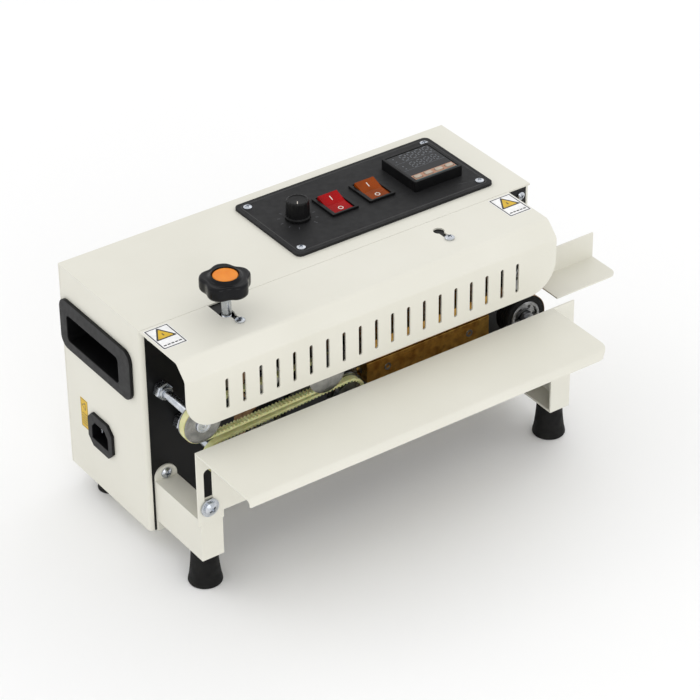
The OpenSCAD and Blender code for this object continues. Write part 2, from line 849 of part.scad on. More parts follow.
// Pulley inside a belt bent to radius r; a flange of radius 0 is left out
module pulley_body(x, z, r, front_flange, back_flange, bore) {
    body_r = r - belt_t - body_gap;
    difference() {
        union() {
            rod_y(x, z, body_r, [belt_front + 0.1, belt_back - 0.1]);
            if (front_flange > 0) {
                rod_y(x, z, front_flange, [belt_front - 1.1, belt_front - body_gap]);
                rod_y(x, z, body_r, [belt_front - 1, belt_front + 1]);
            }
            if (back_flange > 0) rod_y(x, z, back_flange, [belt_back + body_gap, belt_back + 1.6]);
            rod_y(x, z, 8, [belt_back - 1, belt_back + 2.2]);
        }
        rod_y(x, z, bore, [belt_front - 2, belt_back + 3]);
    }
}

module driven_pulley(x, z, front_flange, back, turn) {
    color(alloy) pulley_body(x, z, belt_r, front_flange, flange_r, shaft_r + seat_gap);
    color(steel) rod_y(x, z, shaft_r, [belt_front - 1.5, back]);
    color(steel) gear(x, z, mid_teeth, turn);
}

module upper_mid_pulley() {
    driven_pulley(mid_x, mid_up_z, flange_r, 15, mid_angle + 180 + 180 / mid_teeth);
}

module lower_mid_pulley() {
    driven_pulley(mid_low_x, mid_low_z, 0, 21, mid_angle);
    sprocket(mid_low_x, mid_low_z, chain_teeth_mid);
}

module upper_left_pulley() {
    color(alloy)
        pulley_body(up_left[0], up_left[1], up_left_r, 16.2, up_left_r, shaft_r + run_gap);
}

module lower_left_pulley() {
    color(alloy) pulley_body(low_left[0], low_left[1], belt_r, 0, 0, shaft_r + run_gap);
}

// ---------------------------------------------------------------- bands and belts

module seal_band(z) {
    color(ptfe)
        belt_loop([wheel_x_left, z], band_r, [wheel_x_right, z], band_r, band_t, [lane_front, lane_back]);
}

module upper_seal_band() { seal_band(upper_z); }

module lower_seal_band() { seal_band(lower_z); }

module guide_belts() {
    color(belt_cream) {
        belt_loop(up_left, up_left_r, [mid_x, mid_up_z], belt_r, belt_t, [belt_front, belt_back]);
        belt_loop(low_left, belt_r, [mid_low_x, mid_low_z], belt_r, belt_t, [belt_front, belt_back]);
    }
}

// ---------------------------------------------------------------- heating and cooling

block_face = band_t + nip_gap / 2 + 0.1;
heater_h = 18.7;
heater_y = [-50, -26];
cooler_h = 9.6;
cooler_x = [105, 168];
cooler_y = [-47, -26];
cartridge_r = 4.75;

module heater_blocks() {
    color(brass) for (side = [-1, 1]) {
        z = seal_z + side * (block_face + heater_h / 2);
        difference() {
            block([heater_x, heater_y[0], z - heater_h / 2],
                  [heater_x + heater_w, heater_y[1], z + heater_h / 2]);
            rod_x(-38, z + side * 1.5, cartridge_r, [heater_x - 1, heater_x + heater_w + 1]);
        }
    }
}

module heater_cartridges() {
    color(steel) for (side = [-1, 1])
        rod_x(-38, seal_z + side * (block_face + heater_h / 2 + 1.5), cartridge_r - 0.02,
              [heater_x + 2, heater_x + heater_w + 4]);
}

module cooling_blocks() {
    fins = 12;
    pitch = (cooler_x[1] - cooler_x[0]) / fins;
    color(alloy) for (side = [-1, 1]) {
        z = seal_z + side * (block_face + cooler_h / 2);
        difference() {
            block([cooler_x[0], cooler_y[0], z - cooler_h / 2], [cooler_x[1], cooler_y[1], z + cooler_h / 2]);
            for (k = [1 : fins - 1]) {
                fin_z = z + side * 2.5;
                block([cooler_x[0] + k * pitch - 1, cooler_y[0] - 1, fin_z - 2.5],
                      [cooler_x[0] + k * pitch + 1, cooler_y[0] + 12, fin_z + 2.5]);
            }
        }
    }
}

module block_arms() {
    arm_r = 4;
    heater_mid = block_face + heater_h / 2;
    cooler_mid = block_face + cooler_h / 2;
    color(zinc) {
        for (x = [heater_x + 20, heater_x + heater_w - 20], side = [-1, 1])
            rod_y(x, seal_z + side * heater_mid, arm_r, [heater_y[1], 0]);
        for (x = [cooler_x[0] + 8, cooler_x[1] - 8]) rod_y(x, seal_z + cooler_mid, arm_r, [cooler_y[1], 0]);
        for (x = [cooler_x[0] + 8, cooler_x[0] + 32]) rod_y(x, seal_z - cooler_mid, arm_r, [cooler_y[1], 0]);
    }
}

// ---------------------------------------------------------------- bearings and drive

module flanged_bushes() {
    shafts = [
        [wheel_x_right, upper_z], [wheel_x_right, lower_z], [mid_x, mid_up_z], [mid_low_x, mid_low_z]
    ];
    color(brass) for (p = shafts) difference() {
        union() {
            rod_y(p[0], p[1], 7, [0, 6]);
            rod_y(p[0], p[1], 10, [-2.5, 0]);
            rod_y(p[0], p[1], 8, [-14, -2.4]);
        }
        rod_y(p[0], p[1], shaft_r + run_gap, [-15, 7]);
    }
}

module fixed_axle(x, z, front) {
    nut_r = 7.5;
    rod_y(x, z, shaft_r, [front, 9]);
    difference() {
        union() {
            rod_y(x, z, nut_r, [-7.5, 0], $fn = 6);
            rod_y(x, z, 5.5, [-10.5, -7.5]);
            rod_y(x, z, nut_r, [plate_t, plate_t + 5], $fn = 6);
            rod_y(x, z, 6.5, [front - 1.6, front + 0.2]);
        }
        rod_y(x, z, shaft_r + seat_gap, [front, 10]);
    }
}

module fixed_axles() {
    color(zinc) {
        fixed_axle(up_left[0], up_left[1], belt_front - 1.4);
        fixed_axle(low_left[0], low_left[1], belt_front - 0.5);
        fixed_axle(wheel_x_left, lower_z, lane_front - 1.1);
    }
}

module drive_pinion() {
    color(steel) {
        gear(wheel_x_right, pinion_z, pinion_teeth, 90 + 180 / pinion_teeth);
        rod_y(wheel_x_right, pinion_z, shaft_r, [6, gearbox_y + 4]);
    }
}

module gear_motor() {
    half = 30;
    x = wheel_x_right;
    post = 25;
    color(alloy) difference() {
        block([x - half, gearbox_y, pinion_z - half], [x + half, gearbox_y + 30, pinion_z + half]);
        rod_y(x, pinion_z, shaft_r + run_gap, [gearbox_y - 1, gearbox_y + 5]);
    }
    color(panel_black) rod_y(x, pinion_z, 26, [gearbox_y + 30 + seat_gap, gearbox_y + 86]);
    color(zinc) for (dx = [-post, post], dz = [-post, post])
        rod_y(x + dx, pinion_z + dz, 3, [plate_t, gearbox_y - seat_gap]);
}

module drive_chain() {
    color(steel) belt_loop(
        [wheel_x_right, lower_z], chain_r(chain_teeth_right) + 1.6,
        [mid_low_x, mid_low_z], chain_r(chain_teeth_mid) + 1.6, 3.2, chain_y);
}

// ---------------------------------------------------------------- assembly

place() cabinet_shell();
place() front_plate();
place() base_plate();
place() rear_panel();
place() rubber_feet();
place() left_leg();
place() right_leg();
place() machine_screws();
place() tray();
place() infeed_guide();
place() hood();
place() hood_brackets();
place() handle_pockets();
place() power_inlet();
place() control_panel();
place() controller_case();
place() controller_face();
place() key_1();
place() key_2();
place() key_3();
place() key_4();
place() switch_housings();
place() power_rocker();
place() heat_rocker();
place() speed_knob();
place() speed_potentiometer();
place() speed_board();
place() star_knob();
place() star_knob_cap();
place() pressure_stud();
place() spring_seat();
place() pressure_spring();
place() pressure_carrier();
place() pressure_bracket();
place() upper_right_wheel();
place() upper_right_tyre();
place() upper_right_shaft();
place() lower_right_wheel();
place() lower_right_tyre();
place() lower_right_shaft();
place() upper_left_wheel();
place() upper_left_tyre();
place() lower_left_wheel();
place() lower_left_tyre();
place() upper_mid_pulley();
place() lower_mid_pulley();
place() upper_left_pulley();
place() lower_left_pulley();
place() upper_seal_band();
place() lower_seal_band();
place() guide_belts();
place() heater_blocks();
place() heater_cartridges();
place() cooling_blocks();
place() block_arms();
place() flanged_bushes();
place() fixed_axles();
place() drive_pinion();
place() gear_motor();
place() drive_chain();
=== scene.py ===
# %% [markdown]
# # A table-top band sealer
# This lesson builds the looks of a small machine that welds plastic bags shut. A bag's mouth
# runs between two pairs of moving bands, past hot brass blocks, under a slotted steel hood.
# The measured frame comes from a CAD model, so every piece made here takes its place from it.

# %% Load the measured frame
import json
import math

import bmesh
import bpy
from mathutils import Matrix, Vector

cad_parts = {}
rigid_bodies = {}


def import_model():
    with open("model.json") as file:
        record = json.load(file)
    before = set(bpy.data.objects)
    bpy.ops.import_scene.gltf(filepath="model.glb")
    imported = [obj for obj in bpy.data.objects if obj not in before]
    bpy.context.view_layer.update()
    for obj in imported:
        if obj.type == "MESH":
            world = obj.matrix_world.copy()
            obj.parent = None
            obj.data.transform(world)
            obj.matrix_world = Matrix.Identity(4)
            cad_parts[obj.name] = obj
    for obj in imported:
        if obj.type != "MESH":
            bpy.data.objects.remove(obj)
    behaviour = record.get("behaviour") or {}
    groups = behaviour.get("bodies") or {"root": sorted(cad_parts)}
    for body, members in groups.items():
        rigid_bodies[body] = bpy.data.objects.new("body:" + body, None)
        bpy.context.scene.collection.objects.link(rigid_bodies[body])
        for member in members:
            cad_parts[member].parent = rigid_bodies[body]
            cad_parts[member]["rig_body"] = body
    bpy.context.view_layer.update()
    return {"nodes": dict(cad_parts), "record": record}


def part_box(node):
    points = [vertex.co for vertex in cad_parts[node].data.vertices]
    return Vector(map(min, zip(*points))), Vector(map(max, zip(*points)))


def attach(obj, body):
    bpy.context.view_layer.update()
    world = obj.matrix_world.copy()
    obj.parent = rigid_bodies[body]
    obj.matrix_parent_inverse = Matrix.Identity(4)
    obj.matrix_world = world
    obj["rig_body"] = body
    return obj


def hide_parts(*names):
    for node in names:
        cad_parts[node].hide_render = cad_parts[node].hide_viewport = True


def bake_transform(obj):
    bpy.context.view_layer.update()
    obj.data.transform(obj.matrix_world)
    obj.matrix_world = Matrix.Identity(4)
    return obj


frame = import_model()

# %% [markdown]
# ## Workshop units
# A maker measures this machine in millimetres from one corner: the cabinet's left side, the
# face of the black plate, and the table. Blender's pieces are in metres about the middle of the
# machine. One matrix turns the first into the second, so each shape can be drawn in plain
# millimetres and moved once, when it is finished.

# %% Millimetres from the cabinet's corner
MM = 0.001
corner = Vector((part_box("cabinet_shell")[0].x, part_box("front_plate")[0].y, 0))
to_row = Matrix.Translation(corner) @ Matrix.Scale(MM, 4)


def measured(node):
    """Lowest and highest corner of a CAD node, in millimetres from the cabinet's corner."""
    lo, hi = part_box(node)
    return (lo - corner) / MM, (hi - corner) / MM


cabinet_hi = measured("cabinet_shell")[1]
print("cabinet measures", [round(c, 1) for c in cabinet_hi])

# %% [markdown]
# ## Finishes
# Every surface of a real machine varies a little: powder coat has a fine orange peel, a turned
# shaft has rings, a rubber foot is chalky in places. Each finish below is one Principled shader.
# A noise pattern in Object coordinates drives its colour, its roughness and a shallow bump.
# The patterns are sized in millimetres, so that they stay right when the camera comes close.

# %% Helpers for finishes
def linear(rgb):
    """A colour read from a swatch, 0 to 255, as the linear light that a shader wants."""
    return [(c / 255 / 12.92) if c < 11 else ((c / 255 + 0.055) / 1.055) ** 2.4 for c in rgb]


def new_finish(name, rgb, metallic=0.0, specular=0.5):
    made = bpy.data.materials.new(name)
    made.use_nodes = True
    shader = made.node_tree.nodes["Principled BSDF"]
    shader.inputs["Base Color"].default_value = (*linear(rgb), 1)
    shader.inputs["Metallic"].default_value = metallic
    shader.inputs["Specular IOR Level"].default_value = specular
    return made


def noise(made, size, stretch=(1, 1, 1), detail=3.0):
    """A noise with features of about this many millimetres, longer where stretch is larger."""
    nodes, links = made.node_tree.nodes, made.node_tree.links
    where, turn, tex = (nodes.new("ShaderNode" + kind) for kind in ("TexCoord", "Mapping", "TexNoise"))
    turn.inputs["Scale"].default_value = [1 / s for s in stretch]
    tex.inputs["Scale"].default_value = 1 / (size * MM)
    tex.inputs["Detail"].default_value = detail
    links.new(where.outputs["Object"], turn.inputs["Vector"])
    links.new(turn.outputs["Vector"], tex.inputs["Vector"])
    return tex.outputs[0]


def mottle(made, pattern, dark, light, low=0.3, high=0.7):
    """Lets the colour drift between two near tints."""
    ramp = made.node_tree.nodes.new("ShaderNodeValToRGB")
    for stop, at, rgb in zip(ramp.color_ramp.elements, (low, high), (dark, light)):
        stop.position = at
        stop.color = (*linear(rgb), 1)
    shader = made.node_tree.nodes["Principled BSDF"]
    made.node_tree.links.new(pattern, ramp.inputs[0])
    made.node_tree.links.new(ramp.outputs[0], shader.inputs["Base Color"])


def polish(made, pattern, low, high):
    """Lets the roughness wander between two values."""
    spread = made.node_tree.nodes.new("ShaderNodeMapRange")
    spread.inputs["From Min"].default_value = 0.3
    spread.inputs["From Max"].default_value = 0.7
    spread.inputs["To Min"].default_value = low
    spread.inputs["To Max"].default_value = high
    made.node_tree.links.new(pattern, spread.inputs["Value"])
    made.node_tree.links.new(spread.outputs["Result"],
                             made.node_tree.nodes["Principled BSDF"].inputs["Roughness"])


def relief(made, pattern, depth, strength=0.6):
    """A bump of this depth in millimetres, on top of any bump already there."""
    shader = made.node_tree.nodes["Principled BSDF"]
    bump = made.node_tree.nodes.new("ShaderNodeBump")
    bump.inputs["Strength"].default_value = strength
    bump.inputs["Distance"].default_value = depth * MM
    earlier = shader.inputs["Normal"].links
    if earlier:
        made.node_tree.links.new(earlier[0].from_socket, bump.inputs["Normal"])
    made.node_tree.links.new(pattern, bump.inputs["Height"])
    made.node_tree.links.new(bump.outputs["Normal"], shader.inputs["Normal"])


finish = {}


def coat(slot, title, rgb, drift, tints, sheen, grain, specular=0.5):
    """A finish: tints that drift over so many mm, a sheen and a grain, each led by its size."""
    made = finish[slot] = new_finish(title, rgb, specular=specular)
    mottle(made, noise(made, drift), *tints)
    polish(made, noise(made, sheen[0]), *sheen[1:])
    relief(made, noise(made, grain[0]), *grain[1:])
    return made


def tune(made, **settings):
    """Sets more of a finish's plain inputs by their names."""
    for name, value in settings.items():
        title = name.replace("_", " ").title()
        made.node_tree.nodes["Principled BSDF"].inputs[title].default_value = value


# %% [markdown]
# ### Painted steel
# The cabinet, hood, tray and legs are folded from sheet steel and powder coated in a warm
# cream. Powder flows into a skin with a fine ripple, the orange peel, and a satin shine. The
# plate behind the hood is sprayed black, and the control panel is anodised to a dead matte grey-black.

# %% Cream, black and panel paint
cream = finish["cream_paint"] = new_finish("cream powder coat", (223, 221, 209))
mottle(cream, noise(cream, 90), (221, 219, 207), (226, 224, 213))
polish(cream, noise(cream, 14), 0.40, 0.50)
relief(cream, noise(cream, 0.9, detail=1.5), 0.03, 0.25)

plate_paint = coat("black_paint", "black plate paint", (10, 10, 11), 30, ((8, 8, 9), (13, 13, 14)),
                   (9, 0.34, 0.46), (0.7, 0.03, 0.3), specular=0.25)
panel_coat = coat("panel_black", "matte panel", (30, 30, 31), 25, ((27, 27, 28), (34, 34, 35)),
                  (5, 0.50, 0.62), (0.35, 0.02, 0.35), specular=0.2)
coat("motor", "motor enamel", (52, 53, 55), 20, ((46, 47, 49), (60, 61, 63)),
     (6, 0.35, 0.55), (0.8, 0.03, 0.4))
print("painted finishes:", sorted(finish))

# %% [markdown]
# ### Plastics and rubber
# Moulded plastic copies the grain of its mould, so it gets a tiny, even bump. Rubber is duller
# and picks up pale dust. The star knob is a glossy phenolic moulding, which a thin clear coat
# over a dark base shows well. The rocker switches are tinted, slightly see-into mouldings, so
# a little light is let under their surface.

# %% Moulded finishes
moulded = coat("black_plastic", "black moulding", (11, 11, 12), 12, ((9, 9, 10), (14, 14, 15)),
               (4, 0.36, 0.48), (0.3, 0.02, 0.4), specular=0.2)
phenolic = coat("gloss_black", "phenolic knob", (9, 9, 12), 15, ((7, 7, 10), (12, 12, 15)),
                (7, 0.16, 0.28), (3, 0.03, 0.3), specular=0.15)
tune(phenolic, coat_weight=0.08, coat_roughness=0.12)
rubber = coat("rubber", "black rubber", (14, 14, 14), 8, ((10, 10, 10), (21, 21, 20)),
              (5, 0.55, 0.75), (0.5, 0.04, 0.5), specular=0.2)
cap_orange = coat("orange_cap", "orange cap", (232, 136, 26), 9, ((226, 126, 20), (238, 146, 36)),
                  (3, 0.30, 0.42), (1.5, 0.03, 0.3), specular=0.3)
for slot, rgb in [("red_rocker", (152, 4, 8)), ("amber_rocker", (132, 56, 2))]:
    tints = ([c * 0.88 for c in rgb], [c * 1.08 for c in rgb])
    made = coat(slot, slot.replace("_", " "), rgb, 14, tints, (5, 0.18, 0.30), (1.2, 0.02, 0.25),
                specular=0.08)
    tune(made, subsurface_weight=0.08, subsurface_scale=0.002)
window = coat("display", "display window", (17, 18, 21), 20, ((14, 15, 18), (21, 22, 26)),
              (8, 0.08, 0.16), (6, 0.02, 0.2), specular=0.3)
key_grey = coat("key_grey", "key caps", (178, 166, 150), 3, ((168, 156, 140), (186, 174, 158)),
                (2, 0.35, 0.5), (0.25, 0.01, 0.4))

board = finish["board"] = new_finish("solder mask", (24, 84, 44))
mottle(board, noise(board, 2.5, (1, 6, 1), 1.0), (18, 70, 36), (40, 110, 60), 0.45, 0.55)
polish(board, noise(board, 3), 0.3, 0.5)
relief(board, noise(board, 2.5, (1, 6, 1), 1.0), 0.05, 0.5)
print("moulded finishes:", len(finish))

# %% [markdown]
# ### Metals
# A lathe leaves rings round a shaft and a mill leaves straight lines along a block. Stretching
# the noise across the tool's path gives both: thin in the direction that the tool advanced, long
# along the cut. Zinc plating is bright and faintly blue, turned alloy is paler, brass is
# darkened by heat.

# %% Metal finishes
def metal(name, title, dark, light, low, high, size, stretch, depth):
    made = finish[name] = new_finish(title, light, 1.0)
    mottle(made, noise(made, 6), dark, light)
    polish(made, noise(made, size * 2, stretch), low, high)
    relief(made, noise(made, size, stretch), depth, 0.5)
    return made


metal("zinc", "zinc plate", (178, 184, 192), (214, 217, 222), 0.18, 0.32, 0.5, (1, 1, 1), 0.01)
metal("steel", "turned steel", (128, 129, 132), (176, 177, 180), 0.24, 0.38, 0.3, (30, 1, 30), 0.02)
metal("alloy", "turned alloy", (138, 139, 140), (172, 172, 173), 0.22, 0.36, 0.3, (30, 1, 30), 0.02)
metal("brass", "milled brass", (178, 132, 62), (232, 188, 100), 0.26, 0.42, 0.35, (40, 1, 1), 0.03)
print("metal finishes:", ["zinc", "steel", "alloy", "brass"])

# %% [markdown]
# ### Bands and belts
# The seal bands are glass cloth soaked in brown PTFE, so their bump is a weave: two sets of
# waves that cross. The guide belts are cast polyurethane, pale yellow-green and waxy, with a
# little light inside.

# %% Band and belt finishes
band_cloth = finish["ptfe"] = new_finish("glass cloth band", (140, 108, 74))
mottle(band_cloth, noise(band_cloth, 5), (122, 92, 60), (160, 126, 90))
polish(band_cloth, noise(band_cloth, 2), 0.35, 0.5)
for way in ("X", "Y"):
    nodes, links = band_cloth.node_tree.nodes, band_cloth.node_tree.links
    where, thread = nodes.new("ShaderNodeTexCoord"), nodes.new("ShaderNodeTexWave")
    thread.bands_direction = way
    thread.inputs["Scale"].default_value = 400
    thread.inputs["Distortion"].default_value = 0.6
    links.new(where.outputs["Object"], thread.inputs["Vector"])
    relief(band_cloth, thread.outputs[1], 0.03, 0.3)

belt = coat("belt", "cast belt", (206, 205, 150), 7, ((190, 190, 128), (216, 215, 164)),
            (3, 0.38, 0.52), (0.8, 0.04, 0.4))
tune(belt, subsurface_weight=0.15, subsurface_scale=0.002)
print("finishes in all:", len(finish))

# %% [markdown]
# ### Printed marks
# Labels, display bars and switch marks are thin printed films. They keep the same kind of
# finish, only flatter: a slight change of tint, an ink's roughness and a film's faint waviness.

# %% Inks and films
def ink(title, rgb, low=0.35, high=0.5):
    made = new_finish(title, rgb)
    mottle(made, noise(made, 4), [c * 0.95 for c in rgb], [min(255, c * 1.03) for c in rgb])
    polish(made, noise(made, 2), low, high)
    relief(made, noise(made, 1.0), 0.01, 0.3)
    return made


label_white = ink("label white", (243, 243, 243))
label_yellow = ink("label yellow", (216, 176, 12))
# The dark ink prints the labels and also paints the shade of the holes in the wheel hubs.
ink_and_hole_shade = ink("label ink and hole shade", (34, 34, 34))
mark_white = ink("mark white", (216, 206, 196))
digit_grey = ink("digit grey", (84, 88, 94), 0.2, 0.3)
dial_grey = ink("dial grey", (78, 79, 84))
gloss_line = ink("gloss line", (13, 13, 14), 0.12, 0.2)
accent_peach = ink("key strip", (168, 122, 96), 0.3, 0.4)
accent_teal = ink("edge line", (70, 116, 120), 0.3, 0.4)
print("inks ready")

# %% [markdown]
# ### Dressing the CAD nodes
# The CAD nodes arrive with plain colours. The record says which finish each node has, so one
# loop dresses them all. Nodes that get a more detailed stand-in later are hidden then.

# %% Put the finishes on the nodes
slot_of = {s["node"]: s["material_slot"] for s in frame["record"]["subparts"]}
for node, obj in frame["nodes"].items():
    for place in obj.material_slots:
        place.material = finish[slot_of[node]]
print("dressed", len(slot_of), "nodes")

# %% [markdown]
# ## Floor, light and camera
# A product like this is shown on a plain pale table under large soft lamps. A bright, even
# surround fills the front, and two wide lamps behind and above draw the soft shadows forward.
# The camera stands high to the front left, far away with a long lens, so the long edges stay
# nearly parallel.

# %% Floor
floor_paint = new_finish("studio floor", (250, 250, 250))
polish(floor_paint, noise(floor_paint, 300), 0.75, 0.85)
shape = bmesh.new()
bmesh.ops.create_grid(shape, x_segments=1, y_segments=1, size=6)
floor_mesh = bpy.data.meshes.new("floor")
shape.to_mesh(floor_mesh)
shape.free()
floor_mesh.materials.append(floor_paint)
floor = bpy.data.objects.new("floor", floor_mesh)
bpy.context.scene.collection.objects.link(floor)
print("floor is", round(floor.dimensions.x, 1), "m wide")

# %% Soft studio light
scene = bpy.context.scene
scene.view_settings.view_transform = "Standard"
scene.world = bpy.data.worlds.new("studio")
scene.world.use_nodes = True
scene.world.node_tree.nodes["Background"].inputs["Color"].default_value = (1, 1, 1, 1)
scene.world.node_tree.nodes["Background"].inputs["Strength"].default_value = 0.97


def lamp(name, place, target, size, watts):
    """A square soft box that looks at a point."""
    light = bpy.data.lights.new(name, "AREA")
    light.shape = "SQUARE"
    light.size = size
    light.energy = watts
    made = bpy.data.objects.new(name, light)
    made.location = place
    made.rotation_euler = (Vector(target) - Vector(place)).to_track_quat("-Z", "Y").to_euler()
    scene.collection.objects.link(made)


lamp("rear left box", (-1.3, 1.4, 1.9), (0, 0, 0.1), 1.2, 3)
lamp("rear right box", (1.5, 0.9, 1.8), (0, 0, 0.1), 1.2, 2.5)
lamp("front box", (-0.7, -2.3, 1.0), (0, 0, 0.1), 1.6, 9)

# %% Camera
eye = Vector((-1.14539, -1.60618, 1.42660))
aim = Vector((0.07062, 0.13612, 0.01664))
roll = math.radians(-0.61)
forward = (aim - eye).normalized()
side = forward.cross(Vector((0, 0, 1))).normalized()
rise = side.cross(forward)
right = math.cos(roll) * side + math.sin(roll) * rise
up = math.cos(roll) * rise - math.sin(roll) * side
lens = bpy.data.cameras.new("camera")
lens.lens = 150.97
lens.sensor_width = 36
lens.clip_start = 0.05
camera = bpy.data.objects.new("camera", lens)
camera.matrix_world = Matrix((
    (right.x, up.x, -forward.x, eye.x),
    (right.y, up.y, -forward.y, eye.y),
    (right.z, up.z, -forward.z, eye.z),
    (0, 0, 0, 1),
))
scene.collection.objects.link(camera)
scene.camera = camera
print("camera is", round((aim - eye).length, 2), "m from the machine")

# %% [markdown]
# ## Shapes
# Nearly every part of this machine is made in one of five ways, and so are its copies here. A
# block is milled, a knob or a wheel is turned, a plate is cut to an outline, a frame is stamped,
# and sheet metal is folded. Each helper starts from a create operator or a few points and hands
# back a small mesh in millimetres, which goes into a piece when it is right.

# %% Blocks, outlines and turned shapes
def block(lo, hi, edge=0.3, steps=2):
    """A milled block with eased edges, from its lowest to its highest corner."""
    shape = bmesh.new()
    bmesh.ops.create_cube(shape, size=1)
    lo, hi = Vector(lo), Vector(hi)
    bmesh.ops.scale(shape, vec=hi - lo, verts=shape.verts)
    bmesh.ops.translate(shape, vec=(lo + hi) / 2, verts=shape.verts)
    return ease(shape, edge, steps)


def ease(shape, width, steps=2, sharper=30):
    """Rounds every edge that is sharper than this many degrees."""
    sharp = [e for e in shape.edges if len(e.link_faces) == 2
             and e.calc_face_angle(0) > math.radians(sharper)]
    if width and sharp:
        bmesh.ops.bevel(shape, geom=sharp, offset=width, segments=steps, profile=0.5,
                        affect="EDGES", clamp_overlap=True, material=-1)
    return shape


def points(result):
    """The vertices among what an operator made."""
    return [v for v in result["geom"] if isinstance(v, bmesh.types.BMVert)]


def turned(profile, steps=48):
    """A lathe shape about Z, from a line of (radius, height) points."""
    shape = bmesh.new()
    line = [shape.verts.new((r, 0, h)) for r, h in profile]
    edges = [shape.edges.new(pair) for pair in zip(line, line[1:])]
    bmesh.ops.spin(shape, geom=line + edges, cent=(0, 0, 0), axis=(0, 0, 1),
                   angle=2 * math.pi, steps=steps, use_merge=True)
    bmesh.ops.remove_doubles(shape, verts=shape.verts, dist=0.0005)
    bmesh.ops.recalc_face_normals(shape, faces=shape.faces)
    return shape


def sheet(lo, hi, radius, height, steps=5):
    """A flat plate with round corners, its lowest face at z = 0."""
    shape = bmesh.new()
    bmesh.ops.create_grid(shape, x_segments=1, y_segments=1, size=0.5)
    size = Vector((hi[0] - lo[0], hi[1] - lo[1], 1))
    bmesh.ops.scale(shape, vec=size, verts=shape.verts)
    bmesh.ops.translate(shape, vec=((lo[0] + hi[0]) / 2, (lo[1] + hi[1]) / 2, 0), verts=shape.verts)
    if radius:
        bmesh.ops.bevel(shape, geom=shape.verts[:], offset=radius, segments=steps, profile=0.5,
                        affect="VERTICES", clamp_overlap=True, material=-1)
    return thicken(shape, height)


def thicken(shape, height):
    """Raises a flat shape into a plate and closes its underside."""
    made = bmesh.ops.extrude_face_region(shape, geom=shape.faces[:])
    bmesh.ops.translate(shape, vec=(0, 0, height),
                        verts=points(made))
    open_edges = [e for e in shape.edges if e.is_boundary]
    if open_edges:
        bmesh.ops.holes_fill(shape, edges=open_edges, sides=0)
    bmesh.ops.recalc_face_normals(shape, faces=shape.faces)
    return shape


def stamped_frame(lo, hi, radius, width, height):
    """A flat frame of even width with round corners, its lowest face at z = 0."""
    shape = bmesh.new()
    bmesh.ops.create_grid(shape, x_segments=1, y_segments=1, size=0.5)
    size = Vector((hi[0] - lo[0], hi[1] - lo[1], 1))
    bmesh.ops.scale(shape, vec=size, verts=shape.verts)
    bmesh.ops.translate(shape, vec=((lo[0] + hi[0]) / 2, (lo[1] + hi[1]) / 2, 0), verts=shape.verts)
    if radius:
        bmesh.ops.bevel(shape, geom=shape.verts[:], offset=radius, segments=4, profile=0.5,
                        affect="VERTICES", clamp_overlap=True, material=-1)
    rim = bmesh.ops.inset_region(shape, faces=shape.faces[:], thickness=width, use_boundary=True,
                                  use_even_offset=True)
    inner = [f for f in shape.faces if f not in rim["faces"]]
    bmesh.ops.delete(shape, geom=inner, context="FACES")
    return thicken(shape, height)


print("shape helpers ready")

# %% [markdown]
# A piece is one object made of several such shapes. It lies in place in its mesh, rides on a CAD
# body, and keeps the CAD nodes that it stands for out of sight. Broad flat faces next to narrow
# eased edges would shade like pillows, so each piece gets a weighted normal modifier, which lets
# the broad faces decide.

# %% Put shapes together
def placed(shape, x=0, y=0, z=0, facing=None, turn=0):
    """Turns a shape's own Z towards the operator, the left or the right, and moves it."""
    ways = {None: Matrix.Identity(4), "front": Matrix.Rotation(math.pi / 2, 4, "X"),
            "left": Matrix.Rotation(-math.pi / 2, 4, "Y"), "right": Matrix.Rotation(math.pi / 2, 4, "Y")}
    move = Matrix.Translation((x, y, z)) @ ways[facing] @ Matrix.Rotation(math.radians(turn), 4, "Z")
    bmesh.ops.transform(shape, matrix=move, verts=shape.verts)
    return shape


def piece(name, body, shapes, paints, stands_for=(), smooth=35, even=True):
    """One object from a list of (shape, paint number), in place and riding on its body."""
    whole = bmesh.new()
    for shape, paint in shapes:
        for face in shape.faces:
            face.material_index = paint
        part = bpy.data.meshes.new("part")
        shape.to_mesh(part)
        shape.free()
        whole.from_mesh(part)
        bpy.data.meshes.remove(part)
    bmesh.ops.transform(whole, matrix=to_row, verts=whole.verts)
    mesh = bpy.data.meshes.new(name)
    whole.to_mesh(mesh)
    whole.free()
    for paint in paints:
        mesh.materials.append(paint)
    mesh.shade_smooth()
    mesh.set_sharp_from_angle(angle=math.radians(smooth))
    made = bpy.data.objects.new(name, mesh)
    bpy.context.scene.collection.objects.link(made)
    if even:
        weigh = made.modifiers.new("even shading", "WEIGHTED_NORMAL")
        weigh.keep_sharp = True
    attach(made, body)
    if stands_for:
        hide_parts(*stands_for)
    print(f"{name}: {len(mesh.polygons)} faces, rides on {body}")
    return made


def copied(node):
    """A merged copy of a CAD node, in millimetres, its flat faces whole again."""
    shape = bmesh.new()
    shape.from_mesh(frame["nodes"][node].data)
    bmesh.ops.transform(shape, matrix=to_row.inverted(), verts=shape.verts)
    bmesh.ops.remove_doubles(shape, verts=shape.verts, dist=0.002)
    bmesh.ops.dissolve_limit(shape, angle_limit=math.radians(1), verts=shape.verts, edges=shape.edges)
    return shape


def eased_copy(name, body, node, paint, slot, *edge):
    """A CAD node's own shape as a piece; edge holds the width and steps of its soft edges."""
    piece(name, body, [(ease(copied(node), *edge, sharper=50), 0)], [paint], [node])


print("ready to build pieces")
